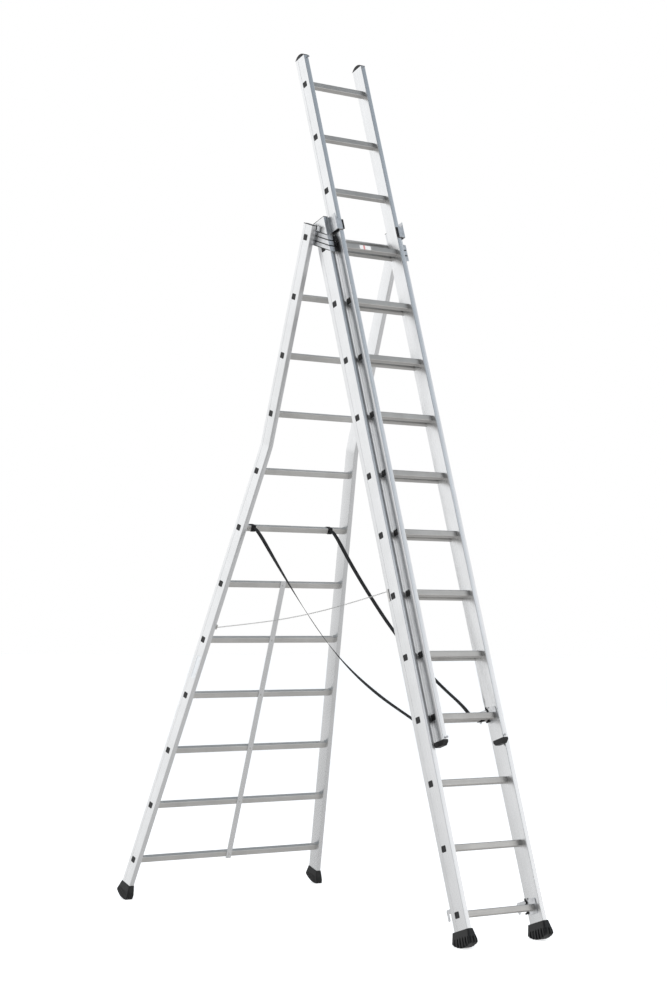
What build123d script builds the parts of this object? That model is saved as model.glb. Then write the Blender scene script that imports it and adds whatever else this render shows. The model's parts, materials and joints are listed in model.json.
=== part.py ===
"""Three-section aluminium combination ladder, standing as a step ladder with its top section run out.

Every section is drawn upright in its own frame: X across the ladder, Y towards the rear and Z up the
stiles, with the bottom rung's axis at the origin.  The section is then leaned over and moved to where
it stands.  Sizes are millimetres and degrees.  The model's origin is on the ground, in the middle of
the box round the whole ladder.
"""
from build123d import *
from math import cos, hypot, radians, sin, tan
import os

# Ladder layout
RUNG_PITCH = 280.0
RUNG_COUNT = 12
TOP_RUNG = RUNG_PITCH * (RUNG_COUNT - 1)
FRONT_LEAN = 18.35
REAR_LEAN = 18.35
FRONT_START = (-1015.0, 132.9)
REAR_START = (1007.7, 192.6)
TOP_FORWARD = 53.5
TOP_RAISED = 3 * RUNG_PITCH - 4.0

# Stiles: depth is along Y, width is along X; the front section's are deeper towards its front
STILE_DEPTH = 70.0
FRONT_STILE_Y = (-46.0, 40.0)
STILE_Y = (-STILE_DEPTH / 2, STILE_DEPTH / 2)
STILE_WIDTH = 25.0
SIDE_WALL = 1.8
FLANGE_WALL = 2.2
FRONT_HALF = 224.0
TOP_HALF = 182.0
REAR_HALF = 266.0
FRONT_ENDS = (-118.0, TOP_RUNG + 142.0)
TOP_ENDS = (-105.0, TOP_RUNG + 141.0)
REAR_ENDS = (-123.0, TOP_RUNG + 60.0)
REAR_BEND = 2086.0
REAR_FLARE = 7.9
GROOVE_AT = 15.0
GROOVE_WIDTH = 2.0
GROOVE_DEPTH = 0.8

# Rungs and their end plugs
RUNG_SIZE = 28.0
RUNG_WALL = 1.8
RUNG_CORNER = 3.5
RIB_PITCH = 4.4
RIB_GROOVE = (1.4, 0.7)
PLUG_HEAD = 1.2
PLUG_BODY = 23.2
PLUG_LENGTH = 12.0
SLANTED_PLUG_BODY = 20.0

# Rubber feet: (half depth, height) of the rim and of the widest line, then the sole's arc
FRONT_FOOT_RIM = (53.0, -65.0)
FRONT_FOOT_WIDE = (60.0, -111.0)
FRONT_FOOT_HALF_WIDTHS = (15.5, 25.0)
FRONT_SOLE_RADIUS = 95.0
FRONT_SOLE_CENTRE_Y = -8.0
REAR_FOOT_LIP = (38.0, 6.0)
REAR_FOOT_WIDE = (52.0, -166.0)
REAR_FOOT_SPREAD = 7.5
REAR_SOLE_RADIUS = 111.0
REAR_SOLE_CENTRE_Y = -15.0
SOLE_FLAT = 0.6
CREPE_PITCH = 18.0
CREPE_GROOVE = 6.5
CREPE_DEPTH = 3.0
CREPE_Z = (-128.0, -96.0)

# Swivel brackets: ribbed bands on the rear stiles that wrap round the front stiles
BAND_TOP = 38.0
BAND_BOTTOM = -29.0
BAND_COUNT = 3
BRACKET_X = (226.0, 231.0)
LIP_Y = (-53.0, -48.0)
LIP_INNER_X = 201.0
LIP_TOP = TOP_RUNG + 49.0
SEAM_WIDTH = 5.0
SEAM_DEPTH = 2.5
LINER_GAP = 0.3
TOOTH_REACH = (190.0, 7.0)
BRACKET_RIVETS = [(4.0, TOP_RUNG - 21.5), (4.0, TOP_RUNG + 27.0)]
PIVOT = (18.0, TOP_RUNG + 68.0)
PIN_RADIUS = 6.0
RUNNING_CLEARANCE = 0.05
BUSH_RADIUS = 9.0

# Guide brackets at the top of the front stiles
GUIDE_Z = (TOP_RUNG + 60.0, TOP_RUNG + 139.0)
GUIDE_LIP_Z = (TOP_RUNG + 62.0, TOP_RUNG + 113.0)
GUIDE_PLATE_X = (195.0, 199.0)
GUIDE_Y = (-97.0, 30.0)
SHOE_GAP = 0.7

# Rung hooks and their catches
HOOK_THICKNESS = 4.0
HOOK_SEAT = 18.3
CATCH_PIVOT = (30.0, 27.0)
CATCH_THICKNESS = 5.0

# Straps and chain
STRAP_WIDTH = 25.0
STRAP_THICKNESS = 2.0
STRAP_REAR_RUNG = 6
STRAP_FRONT_RUNG = 3
CHAIN_RADIUS = 3.0
STRUT_X = -10.0
STRUT_WIDTH = 30.0
STRUT_RUNGS = 6


def block(x, y, z):
    """Box between three (low, high) pairs."""
    size = [high - low for low, high in (x, y, z)]
    centre = [(low + high) / 2 for low, high in (x, y, z)]
    return Pos(*centre) * Box(*size)


def prism_x(outline, x):
    """Solid with a (y, z) outline between two x values."""
    face = make_face(Polyline([(x[0], y, z) for y, z in outline], close=True))
    return extrude(face, amount=x[1] - x[0], dir=(1, 0, 0))


def prism_y(outline, y):
    """Solid with an (x, z) outline between two y values."""
    face = make_face(Polyline([(x, y[0], z) for x, z in outline], close=True))
    return extrude(face, amount=y[1] - y[0], dir=(0, 1, 0))


def rod_x(radius, x, y, z):
    """Round rod along X between two x values."""
    return Pos((x[0] + x[1]) / 2, y, z) * Rot(0, 90, 0) * Cylinder(radius, x[1] - x[0])


def other_side(shape):
    """The same shape on the left of the ladder."""
    return mirror(shape, about=Plane.YZ)


def both(shape):
    return [shape, other_side(shape)]


FRONT = Pos(0, *FRONT_START) * Rot(-FRONT_LEAN, 0, 0)
REAR = Pos(0, *REAR_START) * Rot(REAR_LEAN, 0, 0)
TOP = FRONT * Pos(0, -TOP_FORWARD, TOP_RAISED)


def front_point(x, y, z):
    """A point of the front section's frame, where it stands."""
    return (FRONT * Pos(x, y, z)).position


def rear_point(x, y, z):
    """A point of the rear section's frame, where it stands."""
    return (REAR * Pos(x, y, z)).position


def rear_half(z):
    """Half of the rear section's outside width at height z: straight above the bend, flared below."""
    return REAR_HALF + max(0.0, REAR_BEND - z) * tan(radians(REAR_FLARE))


def rung_holes(x):
    half = RUNG_SIZE / 2
    return [block(x, (-half, half), (n * RUNG_PITCH - half, n * RUNG_PITCH + half)) for n in range(RUNG_COUNT)]


def straight_stile(half, y, ends):
    """Right-hand hollow stile with a hole for each rung and a shallow groove down its outer face."""
    x = (half - STILE_WIDTH, half)
    inside = block((x[0] + SIDE_WALL, x[1] - SIDE_WALL), (y[0] + FLANGE_WALL, y[1] - FLANGE_WALL), ends)
    groove_y = (GROOVE_AT, GROOVE_AT + GROOVE_WIDTH)
    groove = block((half - GROOVE_DEPTH, half), groove_y, ends)
    return block(x, y, ends) - [inside, groove] - rung_holes((x[0] - 1, x[1] + 1))


def rear_outline(inset_out, inset_in):
    """Outline of the flared right-hand stile with its outer and inner faces moved into the metal."""
    bottom, top = REAR_ENDS
    heights = (top, REAR_BEND, bottom)
    outer = [(rear_half(z) - inset_out, z) for z in heights]
    inner = [(rear_half(z) - STILE_WIDTH + inset_in, z) for z in reversed(heights)]
    return outer + inner


def rear_stile():
    y = STILE_Y
    solid = prism_y(rear_outline(0, 0), y)
    solid -= prism_y(rear_outline(SIDE_WALL, SIDE_WALL), (y[0] + FLANGE_WALL, y[1] - FLANGE_WALL))
    solid -= prism_y(rear_outline(0, STILE_WIDTH - GROOVE_DEPTH), (GROOVE_AT, GROOVE_AT + GROOVE_WIDTH))
    return solid - rung_holes((REAR_HALF - STILE_WIDTH - 5, rear_half(REAR_ENDS[0])))


def rung_profile():
    """Hollow square rung section with tread grooves on its top, front and rear."""
    width, depth = RIB_GROOVE
    profile = RectangleRounded(RUNG_SIZE, RUNG_SIZE, RUNG_CORNER)
    bore = RUNG_SIZE - 2 * RUNG_WALL
    profile -= RectangleRounded(bore, bore, RUNG_CORNER - RUNG_WALL)
    face = RUNG_SIZE / 2
    for step in range(-2, 3):
        across = step * RIB_PITCH
        profile -= Pos(across, face) * Rectangle(width, 2 * depth)
        profile -= Pos(face, across) * Rectangle(2 * depth, width)
        profile -= Pos(-face, across) * Rectangle(2 * depth, width)
    return profile


def rung(half, z):
    return Pos(0, 0, z) * extrude(Plane.YZ * rung_profile(), amount=half, both=True)


def slanted_rung(z):
    """Rear rung whose ends are cut in line with the flared stiles."""
    reach = RUNG_SIZE
    low, high = z - reach, z + reach
    outline = [(rear_half(low), low), (rear_half(high), high), (-rear_half(high), high), (-rear_half(low), low)]
    return rung(rear_half(low), z) & prism_y(outline, (-reach, reach))


def plug(body, length):
    """Rung end plug at x = 0, with its head outside and its body in the rung."""
    head = extrude(Plane.YZ * RectangleRounded(RUNG_SIZE, RUNG_SIZE, RUNG_CORNER), amount=PLUG_HEAD)
    return head + block((-length, 0), (-body / 2, body / 2), (-body / 2, body / 2))


def straight_plugs(half):
    one = plug(PLUG_BODY, PLUG_LENGTH)
    return [side for n in range(RUNG_COUNT) for side in both(Pos(half, 0, n * RUNG_PITCH) * one)]


def rear_plugs():
    straight = plug(PLUG_BODY, PLUG_LENGTH)
    slanted = Rot(0, -REAR_FLARE, 0) * plug(SLANTED_PLUG_BODY, PLUG_LENGTH)
    plugs = []
    for n in range(RUNG_COUNT):
        z = n * RUNG_PITCH
        one = slanted if z < REAR_BEND else straight
        plugs += both(Pos(rear_half(z), 0, z) * one)
    return plugs


def above_ground(frame, shape):
    """The part of a placed shape above the ground."""
    return (frame * shape) & block((-900, 900), (-2500, 2500), (0, 5000))


def sole_disc(radius, centre_y, start, lean):
    """Round rod whose underside just passes the ground: cutting it there leaves a small flat."""
    height = (-start[1] + radius - SOLE_FLAT + centre_y * sin(radians(lean))) / cos(radians(lean))
    return rod_x(radius, (100, 700), centre_y, height)


def front_foot():
    """Rubber boot round the end of the front stile, with upright grooves and a rounded sole."""
    rim_y, rim_z = FRONT_FOOT_RIM
    wide_y, wide_z = FRONT_FOOT_WIDE
    rim_x, wide_x = FRONT_FOOT_HALF_WIDTHS
    middle = FRONT_HALF - STILE_WIDTH / 2
    base = -200.0
    side = [(-rim_y, rim_z), (rim_y, rim_z), (wide_y, wide_z), (wide_y, base), (-wide_y, base), (-wide_y, wide_z)]
    face = [(middle + x, z) for x, z in
            ((-rim_x, rim_z), (rim_x, rim_z), (wide_x, wide_z), (wide_x, base), (-wide_x, base), (-wide_x, wide_z))]
    solid = prism_x(side, (150, 300)) & prism_y(face, (-80, 80))
    solid &= sole_disc(FRONT_SOLE_RADIUS, FRONT_SOLE_CENTRE_Y, FRONT_START, FRONT_LEAN)
    x = (FRONT_HALF - STILE_WIDTH, FRONT_HALF)
    solid -= block(x, FRONT_STILE_Y, (FRONT_ENDS[0], rim_z))
    for step in (-2, -1, 0, 1, 2):
        y = (step * CREPE_PITCH - CREPE_GROOVE / 2, step * CREPE_PITCH + CREPE_GROOVE / 2)
        solid -= block((middle + wide_x - CREPE_DEPTH, middle + wide_x), y, CREPE_Z)
        solid -= block((middle - wide_x, middle - wide_x + CREPE_DEPTH), y, CREPE_Z)
    for step in (-1, 0, 1):
        x = (middle + step * CREPE_PITCH - CREPE_GROOVE / 2, middle + step * CREPE_PITCH + CREPE_GROOVE / 2)
        solid -= block(x, (-wide_y, -wide_y + CREPE_DEPTH), CREPE_Z)
        solid -= block(x, (wide_y - CREPE_DEPTH, wide_y), CREPE_Z)
    return above_ground(FRONT, solid)


def rear_foot():
    """Rubber foot pushed into the end of the flared stile, with a lip and a rounded sole."""
    top = REAR_ENDS[0]
    lip_y, lip_height = REAR_FOOT_LIP
    wide_y, wide_z = REAR_FOOT_WIDE
    base = -260.0
    side = [(-lip_y, top), (lip_y, top), (lip_y, top - lip_height), (wide_y, wide_z), (wide_y, base),
            (-wide_y, base), (-wide_y, wide_z), (-lip_y, top - lip_height)]
    lip_x = 2.5
    wide_x = REAR_FOOT_SPREAD
    outer = [(rear_half(top) + lip_x, top), (rear_half(top) + lip_x, top - lip_height),
             (rear_half(wide_z) + wide_x, wide_z), (rear_half(base) + wide_x, base)]
    inner = [(rear_half(base) - STILE_WIDTH - wide_x, base), (rear_half(wide_z) - STILE_WIDTH - wide_x, wide_z),
             (rear_half(top) - STILE_WIDTH - lip_x, top - lip_height), (rear_half(top) - STILE_WIDTH - lip_x, top)]
    solid = prism_x(side, (450, 700)) & prism_y(outer + inner, (-80, 80))
    solid &= sole_disc(REAR_SOLE_RADIUS, REAR_SOLE_CENTRE_Y, REAR_START, -REAR_LEAN)
    gap = 0.1
    tongue_top = top + 45
    tongue = [(rear_half(top) - SIDE_WALL - gap, top), (rear_half(tongue_top) - SIDE_WALL - gap, tongue_top),
              (rear_half(tongue_top) - STILE_WIDTH + SIDE_WALL + gap, tongue_top),
              (rear_half(top) - STILE_WIDTH + SIDE_WALL + gap, top)]
    reach = STILE_DEPTH / 2 - FLANGE_WALL - gap
    return above_ground(REAR, solid + prism_y(tongue, (-reach, reach)))


def insert(half, y, z):
    """Tongue of an end cap, inside a straight stile."""
    gap = 0.1
    x = (half - STILE_WIDTH + SIDE_WALL + gap, half - SIDE_WALL - gap)
    return block(x, (y[0] + FLANGE_WALL + gap, y[1] - FLANGE_WALL - gap), z)


def front_top_cap():
    top = FRONT_ENDS[1]
    lid = block((FRONT_HALF - STILE_WIDTH, FRONT_HALF), FRONT_STILE_Y, (top, top + 3))
    return lid + insert(FRONT_HALF, FRONT_STILE_Y, (top - 18, top))


def rear_top_cap():
    """Lid of the rear stile, with a tab hooked down its inner front corner."""
    top = REAR_ENDS[1]
    inner = REAR_HALF - STILE_WIDTH
    lid = block((inner - 3, REAR_HALF), (-STILE_DEPTH / 2 - 2, STILE_DEPTH / 2), (top, top + 3))
    tab = block((inner - 3, inner), (-STILE_DEPTH / 2 - 2, -STILE_DEPTH / 2 + 12), (top - 20, top))
    return lid + tab + insert(REAR_HALF, STILE_Y, (top - 18, top))


def upper_end_cap():
    """Domed cap on the top section's upper end."""
    top = TOP_ENDS[1]
    x = (TOP_HALF - STILE_WIDTH, TOP_HALF)
    half_chord, rise = STILE_DEPTH / 2 + 2, 18.0
    radius = (half_chord ** 2 + rise ** 2) / (2 * rise)
    dome = block(x, (-half_chord, half_chord), (top, top + rise + 1))
    dome &= rod_x(radius, (x[0] - 1, x[1] + 1), 0, top + rise - radius)
    return dome + insert(TOP_HALF, STILE_Y, (top - 30, top))


def lower_end_cap():
    """Blunt cap on the top section's lower end, chamfered at its front and rear."""
    top = TOP_ENDS[0]
    half = STILE_DEPTH / 2
    outline = [(-half - 2, top), (half + 1, top), (half + 1, top - 12), (half - 10, top - 24),
               (-half + 14, top - 24), (-half - 2, top - 10)]
    cap = prism_x(outline, (TOP_HALF - STILE_WIDTH - 1, TOP_HALF + 1))
    return cap + insert(TOP_HALF, STILE_Y, (top, top + 30))


def swivel_bracket():
    """Ribbed bracket from the rear stile, along the front stile's outer face and over its front."""
    z = (TOP_RUNG + BAND_BOTTOM, TOP_RUNG + BAND_TOP)
    bands = REAR * block((150, 300), (-300, 60), z)
    plate = FRONT * block(BRACKET_X, (LIP_Y[0], 250), (TOP_RUNG - 300, TOP_RUNG + 300))
    lip = FRONT * block((LIP_INNER_X, BRACKET_X[1]), LIP_Y, (TOP_RUNG - 300, LIP_TOP))
    spacer = REAR * block((BRACKET_X[1], REAR_HALF - STILE_WIDTH), (-20, 25), z)
    behind = REAR * block((150, 300), (-300, 25), z)
    solid = ((plate & behind) + (lip & bands)) + spacer
    band = (BAND_TOP - BAND_BOTTOM) / BAND_COUNT
    side = FRONT * block((BRACKET_X[1] - SEAM_DEPTH, 300), (-300, 300), (TOP_RUNG - 300, TOP_RUNG + 300))
    face = FRONT * block((150, 300), (-300, LIP_Y[0] + SEAM_DEPTH), (TOP_RUNG - 300, TOP_RUNG + 300))
    for n in range(1, BAND_COUNT):
        middle = z[0] + n * band
        seam = REAR * block((150, 300), (-300, -25), (middle - SEAM_WIDTH / 2, middle + SEAM_WIDTH / 2))
        solid -= seam & side
        solid -= seam & face
    solid -= FRONT * rod_x(PIN_RADIUS, (200, 300), *PIVOT)
    half = RUNG_SIZE / 2
    solid -= REAR * block((200, 300), (-half, half), (TOP_RUNG - half, TOP_RUNG + half))
    for y, z in BRACKET_RIVETS:
        solid -= REAR * rod_x(3, (234, 300), y, z)
    return solid


def bracket_rivets():
    inner = REAR_HALF - STILE_WIDTH
    rivets = []
    for y, z in BRACKET_RIVETS:
        rivet = rod_x(3, (234, inner + SIDE_WALL), y, z)
        rivet += rod_x(5.5, (inner + SIDE_WALL, inner + SIDE_WALL + 2), y, z)
        rivets += both(REAR * rivet)
    return rivets


def bracket_liner():
    """Plastic wear strip down the front stile's inner front corner, with one tooth for each band."""
    inner_face = FRONT_HALF - STILE_WIDTH
    outer = LIP_INNER_X - LINER_GAP
    height = (TOP_RUNG - 300, GUIDE_Z[0] - 1)
    front = FRONT_STILE_Y[0]
    strip = FRONT * block((inner_face - 4, inner_face), (LIP_Y[0], -16), height)
    strip += FRONT * block((inner_face - 4, outer), (LIP_Y[0], front), height)
    low, high = TOP_RUNG + BAND_BOTTOM, TOP_RUNG + BAND_TOP
    solid = strip & (REAR * block((150, 300), (-300, 60), (low + 1, high - 1)))
    band = (high - low) / BAND_COUNT
    reach_x, reach_y = TOOTH_REACH
    for n in range(BAND_COUNT):
        tooth = FRONT * block((reach_x, inner_face), (LIP_Y[0] - reach_y, LIP_Y[0] + 2), height)
        solid += tooth & (REAR * block((150, 300), (-300, 60), (low + n * band + 3, low + (n + 1) * band - 3)))
    return solid


def hinge_pin():
    """Pin fixed in the swivel bracket, with its collar inside the front stile."""
    return rod_x(PIN_RADIUS, (213.5, BRACKET_X[1]), *PIVOT) + rod_x(BUSH_RADIUS, (210.5, 213.5), *PIVOT)


def hinge_bush():
    """Flanged bush in the front stile's outer wall, which the pin turns in."""
    bush = rod_x(BUSH_RADIUS, (214.5, FRONT_HALF), *PIVOT) + rod_x(11, (FRONT_HALF, FRONT_HALF + 1.4), *PIVOT)
    return bush - rod_x(PIN_RADIUS + RUNNING_CLEARANCE, (200, 240), *PIVOT)


def guide_rivet_places():
    return [(y, z) for y in (-12.0, 14.0) for z in (GUIDE_Z[0] + 14, GUIDE_Z[1] - 30)]


def guide_bracket():
    """Plate on the front stile's inner face that reaches forward round the top section's stile."""
    plate = block(GUIDE_PLATE_X, GUIDE_Y, GUIDE_Z)
    lip = block((166.0, GUIDE_PLATE_X[1]), (GUIDE_Y[0], GUIDE_Y[0] + 4), GUIDE_LIP_Z)
    solid = plate + lip
    for y, z in guide_rivet_places():
        solid -= rod_x(3, (190, 210), y, z)
    return solid


def guide_rivets():
    rivets = []
    for y, z in guide_rivet_places():
        rivet = rod_x(3, (GUIDE_PLATE_X[0], 202.5), y, z)
        rivet += rod_x(5.5, (193.5, GUIDE_PLATE_X[0]), y, z) + rod_x(5, (200.8, 202.5), y, z)
        rivets += both(FRONT * rivet)
    return rivets


def guide_shoe():
    """Plastic shoe between the guide bracket and the sliding stile."""
    front = -TOP_FORWARD - STILE_DEPTH / 2 - SHOE_GAP
    z = (GUIDE_LIP_Z[0] + 2, GUIDE_LIP_Z[1] - 2)
    side = block((184.3, GUIDE_PLATE_X[0]), (GUIDE_Y[0] + 4, -22), z)
    face = block((155.0, GUIDE_PLATE_X[0]), (GUIDE_Y[0] + 4, front), z)
    nose = block((155.0, 166.0), (GUIDE_Y[0], front), z)
    return side + face + nose


def front_stile():
    """Front stile with the holes for its bush and its guide bracket."""
    solid = straight_stile(FRONT_HALF, FRONT_STILE_Y, FRONT_ENDS)
    solid -= rod_x(BUSH_RADIUS, (215, FRONT_HALF + 1), *PIVOT)
    for y, z in guide_rivet_places():
        solid -= rod_x(3, (190, 202), y, z)
    return solid


def rear_stile_drilled():
    """Rear stile with the holes for its swivel bracket's rivets."""
    solid = rear_stile()
    for y, z in BRACKET_RIVETS:
        solid -= rod_x(3, (240, 244), y, z)
    return solid


def rung_hook(face_x):
    """Hook plate on a stile's inner face: round its own rung, and over a rung of the section behind."""
    x = (face_x - HOOK_THICKNESS, face_x)
    outline = [(-28, -22), (-28, 32), (-22, 38), (88, 38), (94, 32), (94, -8), (88, -14), (82, -8),
               (82, HOOK_SEAT), (38, HOOK_SEAT), (30, 8), (30, -22), (24, -28), (-22, -28)]
    half = RUNG_SIZE / 2
    plate = prism_x(outline, x) - block((x[0] - 1, x[1] + 1), (-half, half), (-half, half))
    stud = rod_x(3, (x[0] - CATCH_THICKNESS - 1, x[0]), *CATCH_PIVOT)
    head = rod_x(5, (x[0] - CATCH_THICKNESS - 2.2, x[0] - CATCH_THICKNESS - 1), *CATCH_PIVOT)
    return plate + stud + head


def hook_catch(face_x):
    """Gravity catch that hangs beside the hook plate with its toe under the hooked rung."""
    x_high = face_x - HOOK_THICKNESS - 0.5
    x = (x_high - CATCH_THICKNESS + 0.2, x_high)
    outline = [(26.5, 46), (33.5, 46), (33.5, -12), (46, -16), (46, -20), (42, -22), (29, -22), (26.5, -18)]
    solid = prism_x(outline, x) + rod_x(7, x, *CATCH_PIVOT)
    return solid - rod_x(3 + RUNNING_CLEARANCE, (x[0] - 1, x[1] + 1), *CATCH_PIVOT)


def strap_loop(x):
    """Sewn loop of webbing round a rung."""
    inner = RUNG_SIZE / 2 + 0.2
    outer = inner + STRAP_THICKNESS
    span = (x - STRAP_WIDTH / 2, x + STRAP_WIDTH / 2)
    return block(span, (-outer, outer), (-outer, outer)) - block(span, (-inner, inner), (-inner, inner))


def smooth_path(points):
    """Path through the points' corners, each rounded with the largest arc that its runs allow."""
    radii = []
    for before, here, after in zip(points, points[1:], points[2:]):
        first = Vector(*here) - Vector(*before)
        second = Vector(*after) - Vector(*here)
        turn = first.get_angle(second)
        radii.append(0.45 * min(first.length, second.length) / tan(radians(turn / 2)))
    print("radii", [round(radius) for radius in radii])
    return FilletPolyline(*points, radius=radii)


def swept(points, face, section_area, name):
    """Solid of one section along a smooth path, with its volume printed beside section times length."""
    path = smooth_path(points)
    start = Plane(path @ 0, x_dir=(1, 0, 0), z_dir=path % 0)
    solid = sweep(start * face, path=path)
    print(name, "length", round(path.length), "volume ratio", round(solid.volume / (section_area * path.length), 4))
    return solid


def strap_route(rear_x, front_x, rear_rise, front_rise, middle):
    """Points of a strap from the rear rung's loop to the front rung's loop, sagging in between."""
    reach = RUNG_SIZE / 2 + 0.2 + STRAP_THICKNESS
    rear_z = STRAP_REAR_RUNG * RUNG_PITCH + rear_rise
    front_z = STRAP_FRONT_RUNG * RUNG_PITCH + front_rise
    first = rear_point(rear_x, -reach, rear_z)
    last = front_point(front_x, reach + 0.3, front_z)
    lead_in = rear_point(rear_x, -reach - 30, rear_z)
    lead_out = front_point(front_x, reach + 30, front_z)
    slope = (front_x - rear_x) / (last.Y - first.Y)
    points = [(rear_x + slope * (y - first.Y), y, z) for y, z in middle]
    return [tuple(first), tuple(lead_in)] + points + [tuple(lead_out), tuple(last)]


def write(name, shapes):
    """Write one node: a shape, or a group of separate shapes."""
    shape = Compound(children=list(shapes)) if isinstance(shapes, list) else shapes
    shape.label = name
    export_step(shape, f"parts/{name}.step")
    box = shape.bounding_box()
    limits.append((box.min, box.max))


os.makedirs("parts", exist_ok=True)
limits = []

# Rear section: flared stiles and their twelve rungs
right = REAR * rear_stile_drilled()
write("rear_stile_right", right)
write("rear_stile_left", other_side(right))
slanted = [n for n in range(RUNG_COUNT) if n * RUNG_PITCH < REAR_BEND]
for n in slanted:
    write(f"rear_rung_{n + 1:02d}", REAR * slanted_rung(n * RUNG_PITCH))
write("rear_upper_rungs", [REAR * rung(REAR_HALF, n * RUNG_PITCH) for n in range(len(slanted), RUNG_COUNT)])
write("rear_rung_plugs", [REAR * one for one in rear_plugs()])
right = rear_foot()
write("rear_foot_right", right)
write("rear_foot_left", other_side(right))
write("rear_top_caps", both(REAR * rear_top_cap()))

# Swivel brackets and hinge
right = swivel_bracket()
write("swivel_bracket_right", right)
write("swivel_bracket_left", other_side(right))
write("bracket_liners", both(bracket_liner()))
write("bracket_rivets", bracket_rivets())
write("hinge_pins", both(FRONT * hinge_pin()))
write("hinge_bushes", both(FRONT * hinge_bush()))

# Centre strut along the lower rear rungs
half = RUNG_SIZE / 2
strut_z = (-22, (STRUT_RUNGS - 1) * RUNG_PITCH + 22)
strut_x = (STRUT_X - STRUT_WIDTH / 2, STRUT_X + STRUT_WIDTH / 2)
strut = block(strut_x, (-half - 3, -half), strut_z)
rivets = []
for n in range(STRUT_RUNGS):
    hole = Pos(STRUT_X, 0, n * RUNG_PITCH) * Rot(90, 0, 0)
    strut -= hole * Pos(0, 0, half + 1.5) * Cylinder(2.5, 3)
    shank = hole * Pos(0, 0, half + 2.0) * Cylinder(2.5, 4.0)
    rivets.append(REAR * (shank + hole * Pos(0, 0, half + 3.8) * Cylinder(5.5, 1.6)))
write("centre_strut", REAR * strut)
write("strut_rivets", rivets)

# Front section
right = FRONT * front_stile()
write("front_stile_right", right)
write("front_stile_left", other_side(right))
write("front_rungs", [FRONT * rung(FRONT_HALF, n * RUNG_PITCH) for n in range(RUNG_COUNT)])
write("front_rung_plugs", [FRONT * one for one in straight_plugs(FRONT_HALF)])
right = front_foot()
write("front_foot_right", right)
write("front_foot_left", other_side(right))
write("front_top_caps", both(FRONT * front_top_cap()))
right = FRONT * guide_bracket()
write("guide_bracket_right", right)
write("guide_bracket_left", other_side(right))
write("guide_rivets", guide_rivets())
right = FRONT * guide_shoe()
write("guide_shoe_right", right)
write("guide_shoe_left", other_side(right))
front_face = FRONT_HALF - STILE_WIDTH
right = FRONT * rung_hook(front_face)
write("front_hook_right", right)
write("front_hook_left", other_side(right))
right = FRONT * hook_catch(front_face)
write("front_catch_right", right)
write("front_catch_left", other_side(right))

# Top section
right = TOP * straight_stile(TOP_HALF, STILE_Y, TOP_ENDS)
write("top_stile_right", right)
write("top_stile_left", other_side(right))
write("top_rungs", [TOP * rung(TOP_HALF, n * RUNG_PITCH) for n in range(RUNG_COUNT)])
write("top_rung_plugs", [TOP * one for one in straight_plugs(TOP_HALF)])
write("top_upper_caps", both(TOP * upper_end_cap()))
write("top_lower_caps", both(TOP * lower_end_cap()))
top_face = TOP_HALF - STILE_WIDTH
right = TOP * rung_hook(top_face)
write("top_hook_right", right)
write("top_hook_left", other_side(right))
right = TOP * hook_catch(top_face)
write("top_catch_right", right)
write("top_catch_left", other_side(right))
pins = []
for z in (TOP_ENDS[0] + 8, TOP_ENDS[1] - 10):
    face = Pos(TOP_HALF - 19, -STILE_DEPTH / 2, z) * Rot(90, 0, 0)
    pins += both(TOP * (face * Pos(0, 0, 5) * Cylinder(2.5, 10) + face * Pos(0, 0, 9) * Cylinder(5, 2)))
write("stop_pins", pins)

# Straps between the rungs, and the chain with its eye and its hook
rear_loops = {"left": -246.0, "right": 208.0}
front_loops = {"left": -185.0, "right": 128.0}
rear_z, front_z = STRAP_REAR_RUNG * RUNG_PITCH, STRAP_FRONT_RUNG * RUNG_PITCH
write("rear_strap_loops", [REAR * Pos(0, 0, rear_z) * strap_loop(x) for x in rear_loops.values()])
write("front_strap_loops", [FRONT * Pos(0, 0, front_z) * strap_loop(x) for x in front_loops.values()])
sag = {
    "left": [(294, 1624), (128, 1451), (-49, 1282), (-236, 1140), (-444, 1025), (-642, 942)],
    "right": [(294, 1633), (117, 1468), (-69, 1311), (-267, 1173), (-464, 1058), (-637, 973)],
}
band_area = STRAP_WIDTH * STRAP_THICKNESS
for side, middle in sag.items():
    route = strap_route(rear_loops[side], front_loops[side], 6.0, -2.0, middle)
    write(f"strap_{side}", swept(route, Rectangle(STRAP_WIDTH, STRAP_THICKNESS), band_area, f"strap_{side}"))

eye_z = 1193.0
inner = [rear_half(z) - STILE_WIDTH for z in (eye_z - 11, eye_z + 11)]
eye = [(inner[0], eye_z - 11), (inner[1], eye_z + 11), (inner[1] - 9, eye_z + 11), (inner[0] - 9, eye_z - 11)]
write("chain_eye", other_side(REAR * prism_y(eye, (-STILE_DEPTH / 2, -STILE_DEPTH / 2 + 12))))
write("chain_hook", other_side(FRONT * block((FRONT_HALF, FRONT_HALF + 3), (23, 33), (1386, 1440))))
chain_start = rear_point(-(inner[0] - 5), -STILE_DEPTH / 2 - 2, eye_z)
chain_end = front_point(-(FRONT_HALF + 3 + CHAIN_RADIUS), 34, 1430)
chain_points = [tuple(chain_start)]
for share, drop in ((0.2, 15), (0.4, 26), (0.6, 27), (0.8, 17)):
    point = chain_start + (chain_end - chain_start) * share
    chain_points.append((point.X, point.Y, point.Z - drop))
chain_points.append(tuple(chain_end))
write("chain", swept(chain_points, Circle(CHAIN_RADIUS), 3.14159 * CHAIN_RADIUS ** 2, "chain"))

low = [min(getattr(a, axis) for a, _ in limits) for axis in "XYZ"]
high = [max(getattr(b, axis) for _, b in limits) for axis in "XYZ"]
print("box", [round(v, 2) for v in low], [round(v, 2) for v in high])
pivot = front_point(0, *PIVOT)
print("fold axis", [round(v, 3) for v in pivot])
for name, frame in (("front", FRONT), ("top", TOP)):
    print(name, "catch axis", [round(v, 3) for v in (frame * Pos(0, *CATCH_PIVOT)).position])
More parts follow.
